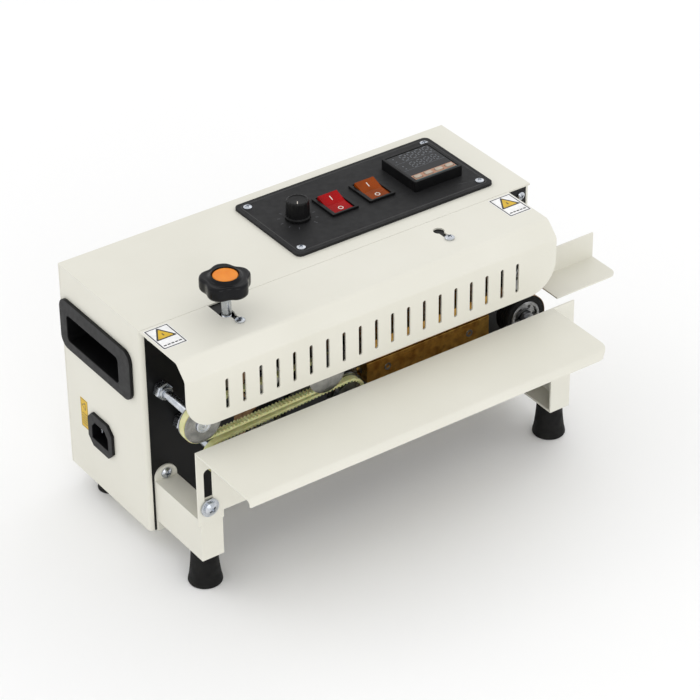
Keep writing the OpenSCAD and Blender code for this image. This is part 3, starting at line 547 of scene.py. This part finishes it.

# %% [markdown]
# ## Folded sheet metal
# The cabinet, hood, tray and legs are blanks of 1.5 mm steel, cut by a laser and folded on a
# press. Their outlines are already exact in the CAD model, so each is copied, and only what
# the press and the paint do is added: wide bends where the hood folds, and a soft paint edge
# everywhere else.

# %% Bends and paint edges
def bend(shape, y, z, radius, steps=5):
    """Rounds the long fold that runs along X at this depth and height."""
    fold = [e for e in shape.edges
            if all(abs(v.co.y - y) < 0.15 and abs(v.co.z - z) < 0.15 for v in e.verts)]
    bmesh.ops.bevel(shape, geom=fold, offset=radius, segments=steps, profile=0.5,
                    affect="EDGES", clamp_overlap=True, material=-1)
    return len(fold)


hood_lo, hood_hi = measured("hood")
chamfer, gauge = 12, 1.5
hood_shape = copied("hood")
inner = gauge * math.tan(math.radians(22.5))
folds = [
    (hood_lo.y + chamfer, hood_hi.z, 2.0), (hood_lo.y, hood_hi.z - chamfer, 2.0),
    (hood_lo.y + chamfer + inner, hood_hi.z - gauge, 1.4),
    (hood_lo.y + gauge, hood_hi.z - chamfer - inner, 1.4),
]
print("folds found on the hood:", [bend(hood_shape, *f) for f in folds])
piece("hood_cover", "hood_body", [(ease(hood_shape, 0.25, sharper=50), 0)], [cream],
      ["hood"])

for name, node, body in [
    ("cabinet_body", "cabinet_shell", "frame"), ("tray_table", "tray", "tray_body"),
    ("leg_left", "left_leg", "frame"), ("leg_right", "right_leg", "frame"),
    ("guide_plate", "infeed_guide", "frame"), ("back_panel", "rear_panel", "frame"),
]:
    eased_copy(name, body, node, cream, "cream_paint", 0.25)

eased_copy("black_plate", "frame", "front_plate", plate_paint, "black_paint", 0.25)

# %% [markdown]
# ## Fasteners
# The screws are zinc plated, with a low dome and a cross-shaped drive. The head starts as a fine
# grid. Its cross is pressed down with an extrude, the square is drawn out to a round, and its rim is
# pulled down to the seat.

# %% A cross-drive screw
def screw(radius, height, shank, shank_length):
    head = bmesh.new()
    bmesh.ops.create_grid(head, x_segments=14, y_segments=14, size=1)
    cross = []
    for face in head.faces:
        x, y = (abs(c) for c in face.calc_center_median()[:2])
        if min(x, y) < 0.12 and max(x, y) < 0.55:
            cross.append(face)
    rim = [e for e in head.edges if e.is_boundary]
    for v in head.verts:
        x, y = v.co.x, v.co.y
        v.co.x, v.co.y = x * math.sqrt(1 - y * y / 2), y * math.sqrt(1 - x * x / 2)
        v.co.z = height / radius * (1 - 0.6 * (v.co.x ** 2 + v.co.y ** 2))
    pulled = bmesh.ops.extrude_edge_only(head, edges=rim)
    skirt = points(pulled)
    for v in skirt:
        v.co.z = 0
    bmesh.ops.holes_fill(head, edges=[e for e in head.edges if e.is_boundary], sides=0)
    pressed = bmesh.ops.extrude_face_region(head, geom=cross)
    floor_of_cross = points(pressed)
    bmesh.ops.delete(head, geom=[f for f in cross if f.is_valid], context="FACES_ONLY")
    bmesh.ops.translate(head, vec=(0, 0, -0.6 * height / radius), verts=floor_of_cross)
    bmesh.ops.scale(head, vec=(0.8, 0.8, 1), verts=floor_of_cross)
    bmesh.ops.scale(head, vec=(radius, radius, radius), verts=head.verts)
    bmesh.ops.recalc_face_normals(head, faces=head.faces)
    stem = turned([(0, -shank_length), (shank - 0.4, -shank_length), (shank, 0.4 - shank_length),
                   (shank, 0.01), (0, 0.01)], 20)
    return [head, stem]


def ring(inner, outer, low, high, edge=0.2, steps=40):
    """A washer or any other round ring about Z."""
    return ease(turned([(inner, low), (outer, low), (outer, high), (inner, high), (inner, low)], steps), edge)


def nut(radius, low, high, ease_by=0.9):
    """A hexagon nut whose corners are turned off at both faces."""
    return turned([(0, low), (radius * 0.88, low), (radius, low + ease_by), (radius, high - ease_by),
                   (radius * 0.88, high), (0, high)], 6)


panel_lo, panel_hi = measured("control_panel")
hood_top = hood_hi.z
fasteners = []
for x, y in [(70, -33), (271, -30.5)]:
    fasteners += [placed(s, x, y, hood_top + 0.3, turn=20) for s in screw(4, 2.4, 2, 8)]
for x in (panel_lo.x + 8.5, panel_hi.x - 8.5):
    for y in (panel_lo.y + 8.5, panel_hi.y - 8.5):
        fasteners += [placed(s, x, y, panel_hi.z, turn=x + y) for s in screw(3.6, 1.8, 1.8, 6)]
flange_front = -67.8 - 1.5 - 0.3
tray_screw_z = 81
for x, tray_x in [(16, 13), (360, 360)]:
    for z in (25, 73):
        fasteners += [placed(s, x, -2, z, "front", z) for s in screw(4.6, 3, 2.5, 8)]
    fasteners.append(placed(ring(3.05, 8, 0, 1.5), tray_x, flange_front, tray_screw_z, "front"))
    fasteners += [placed(s, tray_x, flange_front - 1.51, tray_screw_z, "front", 35)
                  for s in screw(5.6, 3.8, 3, 12)]
for x in (9.5, 366.5):
    fasteners += [placed(s, x, 0, 202, "front", 10) for s in screw(3.6, 2.2, 2, 2.5)]
fasteners += [placed(s, 367, -1.5, 123, "front", 50) for s in screw(3.6, 2.2, 2, 4)]
piece("screws", "frame", [(s, 0) for s in fasteners], [finish["zinc"]], ["machine_screws"])

# %% [markdown]
# ## Feet
# The front feet are conical rubber bumpers that spread at the table, and the rear ones are small
# pads. A lathe profile gives the flare and the soft lip.

# %% Turn the feet
front_foot = [(0, 0), (12.6, 0), (13.7, 0.5), (14, 1.4), (13.8, 3), (12.9, 7), (12.1, 13), (11.4, 20),
              (11.0, 26), (10.8, 29.2), (10.1, 30), (0, 30)]
rear_foot = [(0, 0), (10, 0), (10.8, 0.4), (11, 1.2), (10.6, 4), (9.8, 9), (9.1, 16), (8.9, 19.4),
             (8.4, 20), (0, 20)]
feet = [(placed(turned(front_foot, 56), x, -54, 0), 0) for x in (16, 360)]
feet += [(placed(turned(rear_foot, 48), x, 95, 0), 0) for x in (20, 356)]
piece("feet", "frame", feet, [rubber], ["rubber_feet"])

# %% [markdown]
# ## Side fittings
# The carrying handle is a black tub with a broad rim, snapped into the cabinet's side. The mains
# inlet beneath it is a standard moulding with three flat pins. Both keep their CAD shape, with the
# soft edges of moulded plastic. The pins are made again in bright metal as eased blocks.

# %% Handles and inlet
eased_copy("handles", "frame", "handle_pockets", moulded, "black_plastic", 0.6, 3)
eased_copy("inlet", "frame", "power_inlet", moulded, "black_plastic", 0.35)
inlet_lo, inlet_hi = measured("power_inlet")
pins = []
for dy, dz in [(-7, -2), (0, 2), (7, -2)]:
    y, z = (inlet_lo.y + inlet_hi.y) / 2 + dy, (inlet_lo.z + inlet_hi.z) / 2 + dz
    pins.append((block((3.2, y - 1.1, z - 2.1), (18, y + 1.1, z + 2.1), 0.5), 0))
piece("inlet_pins", "frame", pins, [finish["zinc"]])

# %% [markdown]
# ## Control panel
# The panel is a stamped plate with an engraved, glossy border. Around the speed knob a dial is
# printed as plain ticks. The plate itself keeps its CAD shape with eased edges.

# %% Panel, border and dial
panel_parts = [(ease(copied("control_panel"), 0.25, sharper=50), 0)]
margin = 3.4
border = stamped_frame((panel_lo.x + margin, panel_lo.y + margin), (panel_hi.x - margin, panel_hi.y - margin),
                       3.5, 0.8, 0.06)
panel_parts.append((placed(border, 0, 0, panel_hi.z), 1))
dial_x, dial_y = 189, 63
for k in range(11):
    angle = math.radians(240 - 30 * k)
    tick = block((14.2, -0.25, 0), (16.6 if k % 5 else 17.6, 0.25, 0.05), 0)
    panel_parts.append((placed(tick, dial_x, dial_y, panel_hi.z, turn=math.degrees(angle)), 2))
piece("panel_plate", "frame", panel_parts, [panel_coat, gloss_line, dial_grey],
      ["control_panel"])

# %% [markdown]
# ### Temperature controller
# This is the standard square instrument. Behind a smoked window sit two rows of four unlit
# numerals, each made of seven bars. Below them four keys stand in a peach strip with a teal
# line. All bars show an 8, because an unlit display has no reading.

# %% Case and window
face_lo, face_hi = measured("controller_face")
eased_copy("controller_frame", "frame", "controller_case", moulded, "black_plastic", 0.5, 3)


def numeral(x, y, width, height):
    """Seven bars of one unlit numeral, its middle at x, y."""
    stroke = height * 0.11
    half_w, half_h = width / 2, height / 2
    bars = [((-half_w + stroke, row * half_h - stroke / 2), (half_w - stroke, row * half_h + stroke / 2))
            for row in (-1, 0, 1)]
    bars += [((col * half_w - stroke / 2, row + stroke), (col * half_w + stroke / 2, row + half_h - stroke))
             for col in (-1, 1) for row in (-half_h, 0)]
    return [placed(sheet(lo, hi, stroke * 0.3, 0.05, 2), x, y, face_hi.z) for lo, hi in bars]


window_parts = [(ease(copied("controller_face"), 0.15, sharper=50), 0)]
face_mid = (face_lo.x + face_hi.x) / 2
for row_y, width, height in [(78.5, 5.2, 9.5), (65.2, 4.6, 8.0)]:
    for k in range(4):
        window_parts += [(s, 1) for s in numeral(face_mid - 7 + k * (width + 2.6), row_y, width, height)]
for line_y in (72.2, 59.6):
    line = sheet((-20.6, -0.15), (20.6, 0.15), 0, 0.05)
    window_parts.append((placed(line, face_mid, line_y, face_hi.z), 1))
for row_y in (81, 76, 67, 62.5):
    lamp_dot = turned([(0, 0), (0.7, 0), (0.7, 0.06), (0, 0.06)], 16)
    window_parts.append((placed(lamp_dot, face_lo.x + 5, row_y, face_hi.z), 1))
strip_y = 47
keys = [measured(f"key_{k}") for k in (1, 2, 3, 4)]
strip_left, strip_right, key_gap = face_lo.x + 1.0, face_hi.x - 1.0, 0.35
gap_starts = [strip_left] + [hi.x + key_gap for _, hi in keys]
gap_ends = [lo.x - key_gap for lo, _ in keys] + [strip_right]
for a, b in zip(gap_starts, gap_ends):
    window_parts.append((placed(sheet((a, strip_y - 2.3), (b, strip_y + 2.3), 0, 0.12), 0, 0, face_hi.z), 2))
for y in (strip_y - 3.6, strip_y + 2.3):
    edge_strip = sheet((strip_left, y), (strip_right, y + 1.3), 0, 0.12)
    window_parts.append((placed(edge_strip, 0, 0, face_hi.z), 2))
edge_line = sheet((strip_left, strip_y - 5.6), (strip_right, strip_y - 4.0), 0, 0.1)
window_parts.append((placed(edge_line, 0, 0, face_hi.z), 3))
piece("controller_window", "frame", window_parts, [window, digit_grey, accent_peach, accent_teal],
      ["controller_face"])
for k in (1, 2, 3, 4):
    eased_copy(f"key_cap_{k}", f"key_{k}_body", f"key_{k}", key_grey, "key_grey", 0.35)

# %% [markdown]
# ### Rocker switches
# Each rocker is a glossy tinted paddle, dished between its two ends, with the usual bar and ring
# for on and off. The paddle turns on a pin, so it and its marks ride on the rocker's own body.

# %% Switches
eased_copy("switch_frames", "frame", "switch_housings", moulded, "black_plastic", 0.4)
pivot_z, tilt = 209, math.radians(10)
for node, body, x in [("power_rocker", "power_rocker_body", 225.4),
                      ("heat_rocker", "heat_rocker_body", 261.9)]:
    parts = [(ease(copied(node), 0.7, 3, 15), 0)]
    lean = math.atan2(1.8, 12.8)
    for way in (1, -1):
        if way > 0:
            marks = [block((-0.45, -2.4, 0), (0.45, 2.4, 0.12), 0)]
        else:
            marks = [turned([(1.5, 0), (2.3, 0), (2.3, 0.12), (1.5, 0.12), (1.5, 0)], 32)]
        for mark in marks:
            on_face = (Matrix.Translation((x, 62.85, pivot_z)) @ Matrix.Rotation(tilt, 4, "X")
                       @ Matrix.Translation((0, way * 7.0, 5.2 + 7.0 * 1.8 / 12.8 - 0.02))
                       @ Matrix.Rotation(way * lean, 4, "X"))
            bmesh.ops.transform(mark, matrix=on_face, verts=mark.verts)
            parts.append((mark, 1))
    slot = "red_rocker" if node == "power_rocker" else "amber_rocker"
    piece(node + "_cap", body, parts, [finish[slot], mark_white], [node])

# %% [markdown]
# ### Speed knob
# A small fluted knob on a short skirt. It is turned first. Then every point above the skirt is
# pushed in and out with the angle, which presses the grip's flutes into the side. A pale line
# marks the pointer.

# %% Turn and flute the knob
knob_r, knob_low, knob_top = 10.5, panel_hi.z + 0.5, panel_hi.z + 17.5
height = knob_top - knob_low
knob = turned([(3.02, 0), (knob_r - 0.3, 0), (knob_r, 0.3), (knob_r, 2.2), (knob_r - 0.5, 2.9),
               (knob_r - 0.65, 3.4), (knob_r - 1.1, height - 1.4), (knob_r - 1.5, height - 0.4),
               (knob_r - 2.2, height), (knob_r - 3.2, height), (knob_r - 3.6, height - 0.5),
               (0, height - 0.6)], 144)
for v in knob.verts:
    radius = math.hypot(v.co.x, v.co.y)
    if v.co.z > 3.2 and radius > knob_r - 1.9:
        press = 0.32 * (0.5 + 0.5 * math.cos(18 * math.atan2(v.co.y, v.co.x)))
        v.co.x *= 1 - press / radius
        v.co.y *= 1 - press / radius
pointer = block((-0.35, -knob_r + 2.4, height - 0.75), (0.35, -2.5, height - 0.45), 0.1)
spindle = turned([(0, -14), (3, -14), (3, 11), (0, 11)], 32)
turn_knob = -35
piece("speed_grip", "speed_knob_body",
      [(placed(knob, dial_x, dial_y, knob_low), 0),
       (placed(pointer, dial_x, dial_y, knob_low, turn=turn_knob), 1),
       (placed(spindle, dial_x, dial_y, knob_low), 2)],
      [moulded, mark_white, finish["zinc"]], ["speed_knob"])

# %% [markdown]
# ## Pressure knob
# The star knob squeezes the spring that presses the upper left wheel down. The moulding is
# turned as a plain dished disc. Five hollows are pressed between five broad lobes by shrinking the
# outer points between them, and the rim of the orange cap stands proud like a saucer.

# %% Star knob, cap and stud
axis_x, axis_y = 67.5, -18
star_r = 20.5
profile = [(4.02, 230), (7.4, 230), (8, 230.6), (8.2, 231.5), (14, 231.5), (17.6, 231.7), (19.3, 232.4),
           (20.2, 233.6), (20.5, 235.2), (20.5, 241.0), (20.3, 242.4), (19.6, 243.3), (18.6, 243.7),
           (17.0, 243.6), (15.2, 243.4), (13.6, 243.7), (12.5, 244.6), (11.9, 245.6), (11.4, 246.0),
           (10.8, 245.9), (10.4, 245.2), (10.3, 243.2), (10.3, 243), (4.02, 243), (4.02, 230)]
star = turned(profile, 200)
for v in star.verts:
    radius = math.hypot(v.co.x, v.co.y)
    if radius > 11.9:
        lobe = 0.5 + 0.5 * math.cos(5 * (math.atan2(v.co.y, v.co.x) - math.radians(67)))
        share = min(1, (radius - 11.9) / 6.5)
        share = share * share * (3 - 2 * share)
        shrink = 1 - share * 3.0 / star_r * (1 - lobe) ** 1.5
        v.co.x *= shrink
        v.co.y *= shrink
piece("star_grip", "knob_body", [(placed(star, axis_x, axis_y), 0)], [phenolic], ["star_knob"],
      smooth=50)
cap = turned([(0, 243), (10.15, 243), (10.2, 244.4), (9.7, 245.2), (8.9, 245.5), (8.2, 245.3),
              (0, 245.4)], 64)
piece("knob_cap", "knob_body", [(placed(cap, axis_x, axis_y), 0)], [cap_orange],
      ["star_knob_cap"])


def thread(radius, depth, pitch, turns, steps=24):
    """A screw thread: one tooth's outline, spun while it climbs."""
    shape = bmesh.new()
    root = radius - depth
    line = [shape.verts.new((r, 0, h)) for r, h in
            [(root, 0), (radius, pitch * 0.42), (radius, pitch * 0.58), (root, pitch)]]
    edges = [shape.edges.new(pair) for pair in zip(line, line[1:])]
    bmesh.ops.spin(shape, geom=line + edges, cent=(0, 0, 0), axis=(0, 0, 1), angle=2 * math.pi * turns,
                   steps=steps * turns, dvec=(0, 0, pitch / steps))
    bmesh.ops.remove_doubles(shape, verts=shape.verts, dist=0.001)
    bmesh.ops.recalc_face_normals(shape, faces=shape.faces)
    return shape


stud_lo, stud_hi = measured("pressure_stud")
turns = 17
thread_top = stud_lo.z + 1.25 * turns
stud = [(placed(turned([(0, stud_lo.z), (3.3, stud_lo.z), (3.45, stud_lo.z + 0.6), (3.45, thread_top),
                        (4, thread_top + 0.8), (4, stud_hi.z), (0, stud_hi.z)], 40),
                axis_x, axis_y), 0),
        (placed(thread(4, 0.55, 1.25, turns), axis_x, axis_y, stud_lo.z + 0.4), 0)]
piece("knob_stud", "knob_body", stud, [finish["zinc"]], ["pressure_stud"])

# %% [markdown]
# ### Pressure spring
# A compression spring is wire wound on a mandrel. Spinning a small circle while it climbs gives
# just that. It stands between the seat on the screw and the block, and it rides on no body: its
# shape is fixed where it is wound.

# %% Wind the spring
def coil(radius, wire, low, high, turns, steps=28):
    shape = bmesh.new()
    bmesh.ops.create_circle(shape, cap_ends=True, radius=wire, segments=10)
    bmesh.ops.rotate(shape, cent=(0, 0, 0), matrix=Matrix.Rotation(math.pi / 2, 3, "X"), verts=shape.verts)
    bmesh.ops.translate(shape, vec=(radius, 0, low + wire), verts=shape.verts)
    climb = (high - low - 2 * wire) / (turns * steps)
    bmesh.ops.spin(shape, geom=shape.verts[:] + shape.edges[:] + shape.faces[:], cent=(0, 0, 0),
                   axis=(0, 0, 1), angle=2 * math.pi * turns, steps=turns * steps, dvec=(0, 0, climb))
    bmesh.ops.recalc_face_normals(shape, faces=shape.faces)
    return shape


spring_lo, spring_hi = measured("pressure_spring")
spring_parts = [(placed(coil(5, 0.75, spring_lo.z, spring_hi.z, 5), axis_x, axis_y), 0)]
spring = piece("spring_coil", "frame", spring_parts, [finish["steel"]], ["pressure_spring"],
               even=False)
del spring["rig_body"]
spring.parent = None
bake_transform(spring)

# %% [markdown]
# ## Wheels, belts and pulleys
# The mechanism shows through the gap beneath the hood. Each wheel is an alloy hub with a rubber
# tyre, and the seal bands run round them. In front of the bands, toothed belts on small flanged
# pulleys grip the bag. All of these are lathe work but the belts.

# %% Hubs, tyres and shaft ends
lane_back, lane_front = -31, -46
left_x, right_x, upper_z, lower_z = 82, 338, 158.5, 118.5
tyre_r = measured("upper_right_tyre")[1].z - upper_z
hub_r = 14.2
for node, x, z in [("upper_right", right_x, upper_z), ("lower_right", right_x, lower_z),
                   ("upper_left", left_x, upper_z), ("lower_left", left_x, lower_z)]:
    body = node + "_wheel_body"
    deep, wide = -lane_back, -lane_front
    hub = turned([(4.06, deep - 0.5), (hub_r - 0.2, deep - 0.5), (hub_r - 0.02, deep), (hub_r - 0.02, wide),
                  (hub_r - 0.4, wide + 0.5), (12.2, wide + 0.5), (11.5, wide + 0.1), (11.3, wide - 1.4),
                  (7.5, wide - 1.4), (7.1, wide - 0.4), (4.06, wide - 0.4), (4.06, deep - 0.5)], 64)
    parts = [(placed(hub, x, 0, z, "front"), 0)]
    # Six dark ink discs on each hub's web are painted shade, standing in for holes.
    for a in (math.radians(60 * k) for k in range(6)):
        hole_shade_disc = turned([(0, 0), (1.5, 0), (1.5, 0.25), (0, 0.25)], 20)
        hole_shade_disc = placed(hole_shade_disc, 9.3 * math.cos(a), 9.3 * math.sin(a), wide - 1.38)
        parts.append((placed(hole_shade_disc, x, 0, z, "front"), 1))
    piece(node + "_hub", body, parts, [finish["alloy"], ink_and_hole_shade], [node + "_wheel"])
    grooves = []
    for k in range(5):
        y = deep + 2.2 + k * 2.65
        grooves += [(tyre_r, y), (tyre_r - 0.5, y + 0.35), (tyre_r - 0.5, y + 0.85), (tyre_r, y + 1.2)]
    tyre = turned([(hub_r, deep), (tyre_r - 0.6, deep), (tyre_r, deep + 0.6)] + grooves
                  + [(tyre_r, wide - 0.6), (tyre_r - 0.6, wide), (hub_r, wide), (hub_r, deep)], 72)
    piece(node + "_rubber", body, [(placed(tyre, x, 0, z, "front"), 0)], [rubber], [node + "_tyre"])

# %% [markdown]
# A toothed belt is cast in a ring and stretched over its two pulleys. Its copy starts as a circle
# of points. One half of the circle is pulled away along the belt's run, four such loops are bridged
# into a closed strip, and small blunt teeth are set round the inside at an even pitch.

# %% Belts
def loop(shape, a, b, radius, depth, widen=0.0, steps=32):
    """One closed line round both ends of a run from a to b; its first end is wider by widen."""
    run = Vector((b[0] - a[0], 0, b[1] - a[1]))
    along = math.atan2(run.z, run.x)
    made = bmesh.ops.create_circle(shape, cap_ends=False, radius=radius, segments=2 * steps)["verts"]
    wide = (radius + widen) / radius
    bmesh.ops.rotate(shape, cent=(0, 0, 0), matrix=Matrix.Rotation(math.pi / (2 * steps), 3, "Z"), verts=made)
    pulled = [v for v in made if v.co.x > 0]
    bmesh.ops.scale(shape, vec=(wide, wide, 1), verts=[v for v in made if v.co.x < 0])
    bmesh.ops.translate(shape, vec=(run.length, 0, 0), verts=pulled)
    move = (Matrix.Translation((a[0], depth, a[1])) @ Matrix.Rotation(-along, 4, "Y")
            @ Matrix.Rotation(math.pi / 2, 4, "X"))
    bmesh.ops.transform(shape, matrix=move, verts=made)
    return list({e for v in made for e in v.link_edges})


def band(a, b, radius, thickness, near, far, widen=0.0):
    """A flat closed band of even thickness round both ends of a run."""
    shape = bmesh.new()
    rails = [loop(shape, a, b, r, y, widen) for r, y in
             [(radius, near), (radius, far), (radius - thickness, far), (radius - thickness, near)]]
    for one, other in zip(rails, rails[1:] + rails[:1]):
        bmesh.ops.bridge_loops(shape, edges=one + other)
    bmesh.ops.recalc_face_normals(shape, faces=shape.faces)
    return shape


def teeth(a, b, radius, height, near, far, pitch, widen=0.0):
    """Blunt teeth on the inside of a loop, at an even pitch."""
    run = Vector((b[0] - a[0], 0, b[1] - a[1]))
    first = radius + widen
    far_turn, near_turn = math.pi * radius, math.pi * first
    whole = 2 * run.length + far_turn + near_turn
    count = round(whole / pitch)
    along = math.atan2(run.z, run.x)
    made = []
    for k in range(count):
        s = k * whole / count
        if s < run.length:
            x, z, turn = s, -(first + (radius - first) * s / run.length), 0
        elif s < run.length + far_turn:
            turn = (s - run.length) / radius
            x, z = run.length + radius * math.sin(turn), -radius * math.cos(turn)
        elif s < 2 * run.length + far_turn:
            x, turn = 2 * run.length + far_turn - s, math.pi
            z = first + (radius - first) * x / run.length
        else:
            turn = math.pi + (s - 2 * run.length - far_turn) / first
            x, z = first * math.sin(turn), -first * math.cos(turn)
        tooth = block((-pitch * 0.3, near, 0), (pitch * 0.3, far, height), 0)
        top = [v for v in tooth.verts if v.co.z > height / 2]
        bmesh.ops.scale(tooth, vec=(0.6, 1, 1), verts=top)
        move = (Matrix.Translation((a[0], 0, a[1])) @ Matrix.Rotation(-along, 4, "Y")
                @ Matrix.Translation((x, 0, z)) @ Matrix.Rotation(-turn, 4, "Y"))
        bmesh.ops.transform(tooth, matrix=move, verts=tooth.verts)
        made.append(tooth)
    return made


guide_near, guide_far = -60, -54
upper_idle, lower_idle = (15.7, 152.3), (32, 116)
guide_runs = [(upper_idle, (130, 153.6), 2.0), (lower_idle, (152.23, 123.4), 0.0)]
belt_parts = []
for a, b, widen in guide_runs:
    belt_parts.append((ease(band(a, b, 15, 1.9, guide_near, guide_far, widen), 0.25, sharper=50), 0))
    belt_parts += [(t, 0) for t in teeth(a, b, 13.15, 1.1, guide_near + 0.2, guide_far - 0.2, 3.2, widen)]
piece("guide_belt_pair", "frame", belt_parts, [belt], ["guide_belts"])

band_r, band_t = 19.9, 0.4
lower_band = band((left_x, lower_z), (right_x, lower_z), band_r, band_t, lane_front, lane_back)
piece("lower_band", "frame", [(lower_band, 0)], [band_cloth], ["lower_seal_band"])
upper_band = band((left_x, upper_z), (right_x, upper_z), band_r, band_t, lane_front, lane_back)
for k in range(1, 12):
    x = left_x + k * (right_x - left_x) / 12
    everything = upper_band.verts[:] + upper_band.edges[:] + upper_band.faces[:]
    bmesh.ops.bisect_plane(upper_band, geom=everything, plane_co=(x, 0, 0), plane_no=(1, 0, 0))
upper = piece("upper_band", "frame", [(upper_band, 0)], [band_cloth], ["upper_seal_band"], even=False)
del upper["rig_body"]
upper.parent = None
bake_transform(upper)

# %% [markdown]
# The pulleys carry thin flanges that keep the belts on. Each face is turned with a rim, a dished
# web and a boss, because a flat disc would catch no light.

# %% Pulleys
def pulley(root, front_flange, back_flange, bore):
    """A belt pulley about Z, its front towards +Z, lane from 54 to 60; flange 0 is left out."""
    far, near = 54, 60
    line = [(bore, far - 2.2), (8, far - 2.2)]
    if back_flange:
        line += [(8, far - 1.6), (back_flange - 0.4, far - 1.6), (back_flange, far - 1.3),
                 (back_flange, far - 0.3), (root, far - 0.3)]
    else:
        line += [(8, far + 0.1), (root, far + 0.1)]
    if front_flange:
        line += [(root, near + 0.3), (front_flange, near + 0.3), (front_flange, near + 0.8),
                 (front_flange - 0.3, near + 1.1), (front_flange - 2.4, near + 1.1),
                 (front_flange - 3.1, near + 0.7), (8.2, near + 0.7), (7.6, near + 1.1), (bore, near + 1.1)]
    else:
        line += [(root, near - 0.5), (root - 0.4, near - 0.1), (9.4, near - 0.1), (8.9, near - 1.2),
                 (7.2, near - 1.2), (6.8, near - 0.3), (bore, near - 0.3)]
    return turned(line + [line[0]], 72)


for node, (x, z), root, front, back in [("upper_left_pulley", upper_idle, 13.7, 16.2, 17),
                                        ("lower_left_pulley", lower_idle, 11.7, 0, 0)]:
    piece(node + "_turned", node + "_body", [(placed(pulley(root, front, back, 4.05), x, 0, z, "front"), 0)],
          [finish["alloy"]], [node])

# %% [markdown]
# The idle pulleys turn on fixed axles: a ground rod, a hexagon nut against the plate with a collar
# before it, and a knurled head that stops the pulley from walking off.

# %% Fixed axles
axle_parts = []
for (x, z), front in [(upper_idle, 61.4), (lower_idle, 60.5), ((left_x, lower_z), 47.1)]:
    rod = turned([(0, -9), (3.6, -9), (4, -8.6), (4, front), (3.6, front + 0.2), (0, front + 0.2)], 40)
    head = turned([(0, front - 0.2), (6.0, front - 0.2), (6.5, front + 0.2), (6.5, front + 1.2),
                   (6.1, front + 1.6), (4.6, front + 1.6), (4.2, front + 1.0), (1.8, front + 0.9),
                   (1.4, front + 0.3), (0, front + 0.3)], 72)
    for v in head.verts:
        radius = math.hypot(v.co.x, v.co.y)
        if radius > 5.9:
            press = 0.16 * (1 + math.cos(24 * math.atan2(v.co.y, v.co.x)))
            v.co.x *= 1 - press / radius
            v.co.y *= 1 - press / radius
    axle_parts += [(placed(rod, x, 0, z, "front"), 0), (placed(head, x, 0, z, "front"), 0)]
    axle_parts += [(placed(nut(7.5, 0, 7.5), x, 0, z, "front", 12), 0),
                   (placed(ring(4.01, 5.5, 7.5, 10.5, 0.4), x, 0, z, "front"), 0),
                   (placed(nut(7.5, -7.5, -2.5), x, 0, z, "front"), 0)]
piece("axles", "frame", axle_parts, [finish["zinc"]], ["fixed_axles"])

# %% [markdown]
# ## Heating
# The two brass blocks are milled bar with a sharp, bright arris where the cutter left it. They
# keep their CAD shape with a fine eased edge. Small socket screws hold each to its arms.

# %% Brass blocks
heater_lo, heater_hi = measured("heater_blocks")
block_parts = [(ease(copied("heater_blocks"), 0.5, 2, 50), 0)]
for z in (heater_lo.z + 9.4, heater_hi.z - 9.4):
    for x in (heater_lo.x + 20, heater_hi.x - 20):
        block_parts.append((placed(ring(1.6, 3.2, 0, 0.6, 0.15), x, heater_lo.y, z, "front"), 1))
piece("brass_bars", "frame", block_parts, [finish["brass"], finish["steel"]], ["heater_blocks"])

# %% [markdown]
# ## Labels
# Plain stickers mark the hot end and the moving bands. They carry no words: a white ground with a
# thin dark border, and a yellow triangle with its own dark edge. The side of the cabinet
# has a small yellow one with ruled bars.

# %% Stickers
def triangle(radius, height):
    """A flat three-sided plate with rounded corners."""
    shape = bmesh.new()
    bmesh.ops.create_circle(shape, cap_ends=True, radius=radius, segments=3)
    bmesh.ops.bevel(shape, geom=shape.verts[:], offset=radius * 0.12, segments=3, profile=0.5,
                    affect="VERTICES", clamp_overlap=True, material=-1)
    return thicken(shape, height)


def hood_label(name, lo, hi):
    width, depth = hi[0] - lo[0], hi[1] - lo[1]
    mid_x, mid_y = (lo[0] + hi[0]) / 2, (lo[1] + hi[1]) / 2
    base = hood_hi.z
    parts = [(placed(sheet(lo, hi, 0.8, 0.08), 0, 0, base), 0)]
    for inset, low, paint in [(0.6, 0.08, 2), (1.6, 0.10, 0)]:
        parts.append((placed(sheet((lo[0] + inset, lo[1] + inset), (hi[0] - inset, hi[1] - inset), 0.4, 0.03),
                             0, 0, base + low), paint))
    for radius, low, paint in [(0.50, 0.12, 2), (0.37, 0.14, 1)]:
        parts.append((placed(triangle(width * radius, 0.03), mid_x, mid_y + depth * 0.10, base + low), paint))
    parts.append((placed(block((-width * 0.05, -0.5, 0), (width * 0.09, 0.5, 0.03), 0), mid_x,
                         mid_y + depth * 0.10, base + 0.16, turn=90), 2))
    for k in range(5):
        parts.append((placed(block((-width * 0.06, -0.7, 0), (width * 0.06, 0.7, 0.03), 0),
                             mid_x + (k - 2) * width * 0.155, lo[1] + depth * 0.15, base + 0.12), 2))
    piece(name, "hood_body", parts, [label_white, label_yellow, ink_and_hole_shade])


hood_label("label_left", (1.5, -33), (23, -3))
hood_label("label_right", (330.5, -33), (352, -3))

side = [(sheet((-5.5, -14), (5.5, 14), 0.6, 0.1), 1)]
side.append((placed(stamped_frame((-5, -13.5), (5, 13.5), 0.4, 0.35, 0.03), 0, 0, 0.1), 2))
for k in range(5):
    side.append((placed(block((-3.8, -0.3, 0), (3.8, 0.3, 0.03), 0), 0, -10 + k * 2.4, 0.1), 2))
side.append((placed(triangle(4.2, 0.03), 0, 7.2, 0.1, turn=90), 2))
side.append((placed(triangle(3.0, 0.03), 0, 7.2, 0.13, turn=90), 1))
upright = (Matrix.Translation((0, 94.5, 81.5)) @ Matrix.Rotation(math.pi, 4, "Z")
           @ Matrix.Rotation(math.pi / 2, 4, "Y") @ Matrix.Rotation(math.pi / 2, 4, "Z"))
for shape, _ in side:
    bmesh.ops.transform(shape, matrix=upright, verts=shape.verts)
piece("label_side", "frame", side, [label_white, label_yellow, ink_and_hole_shade])
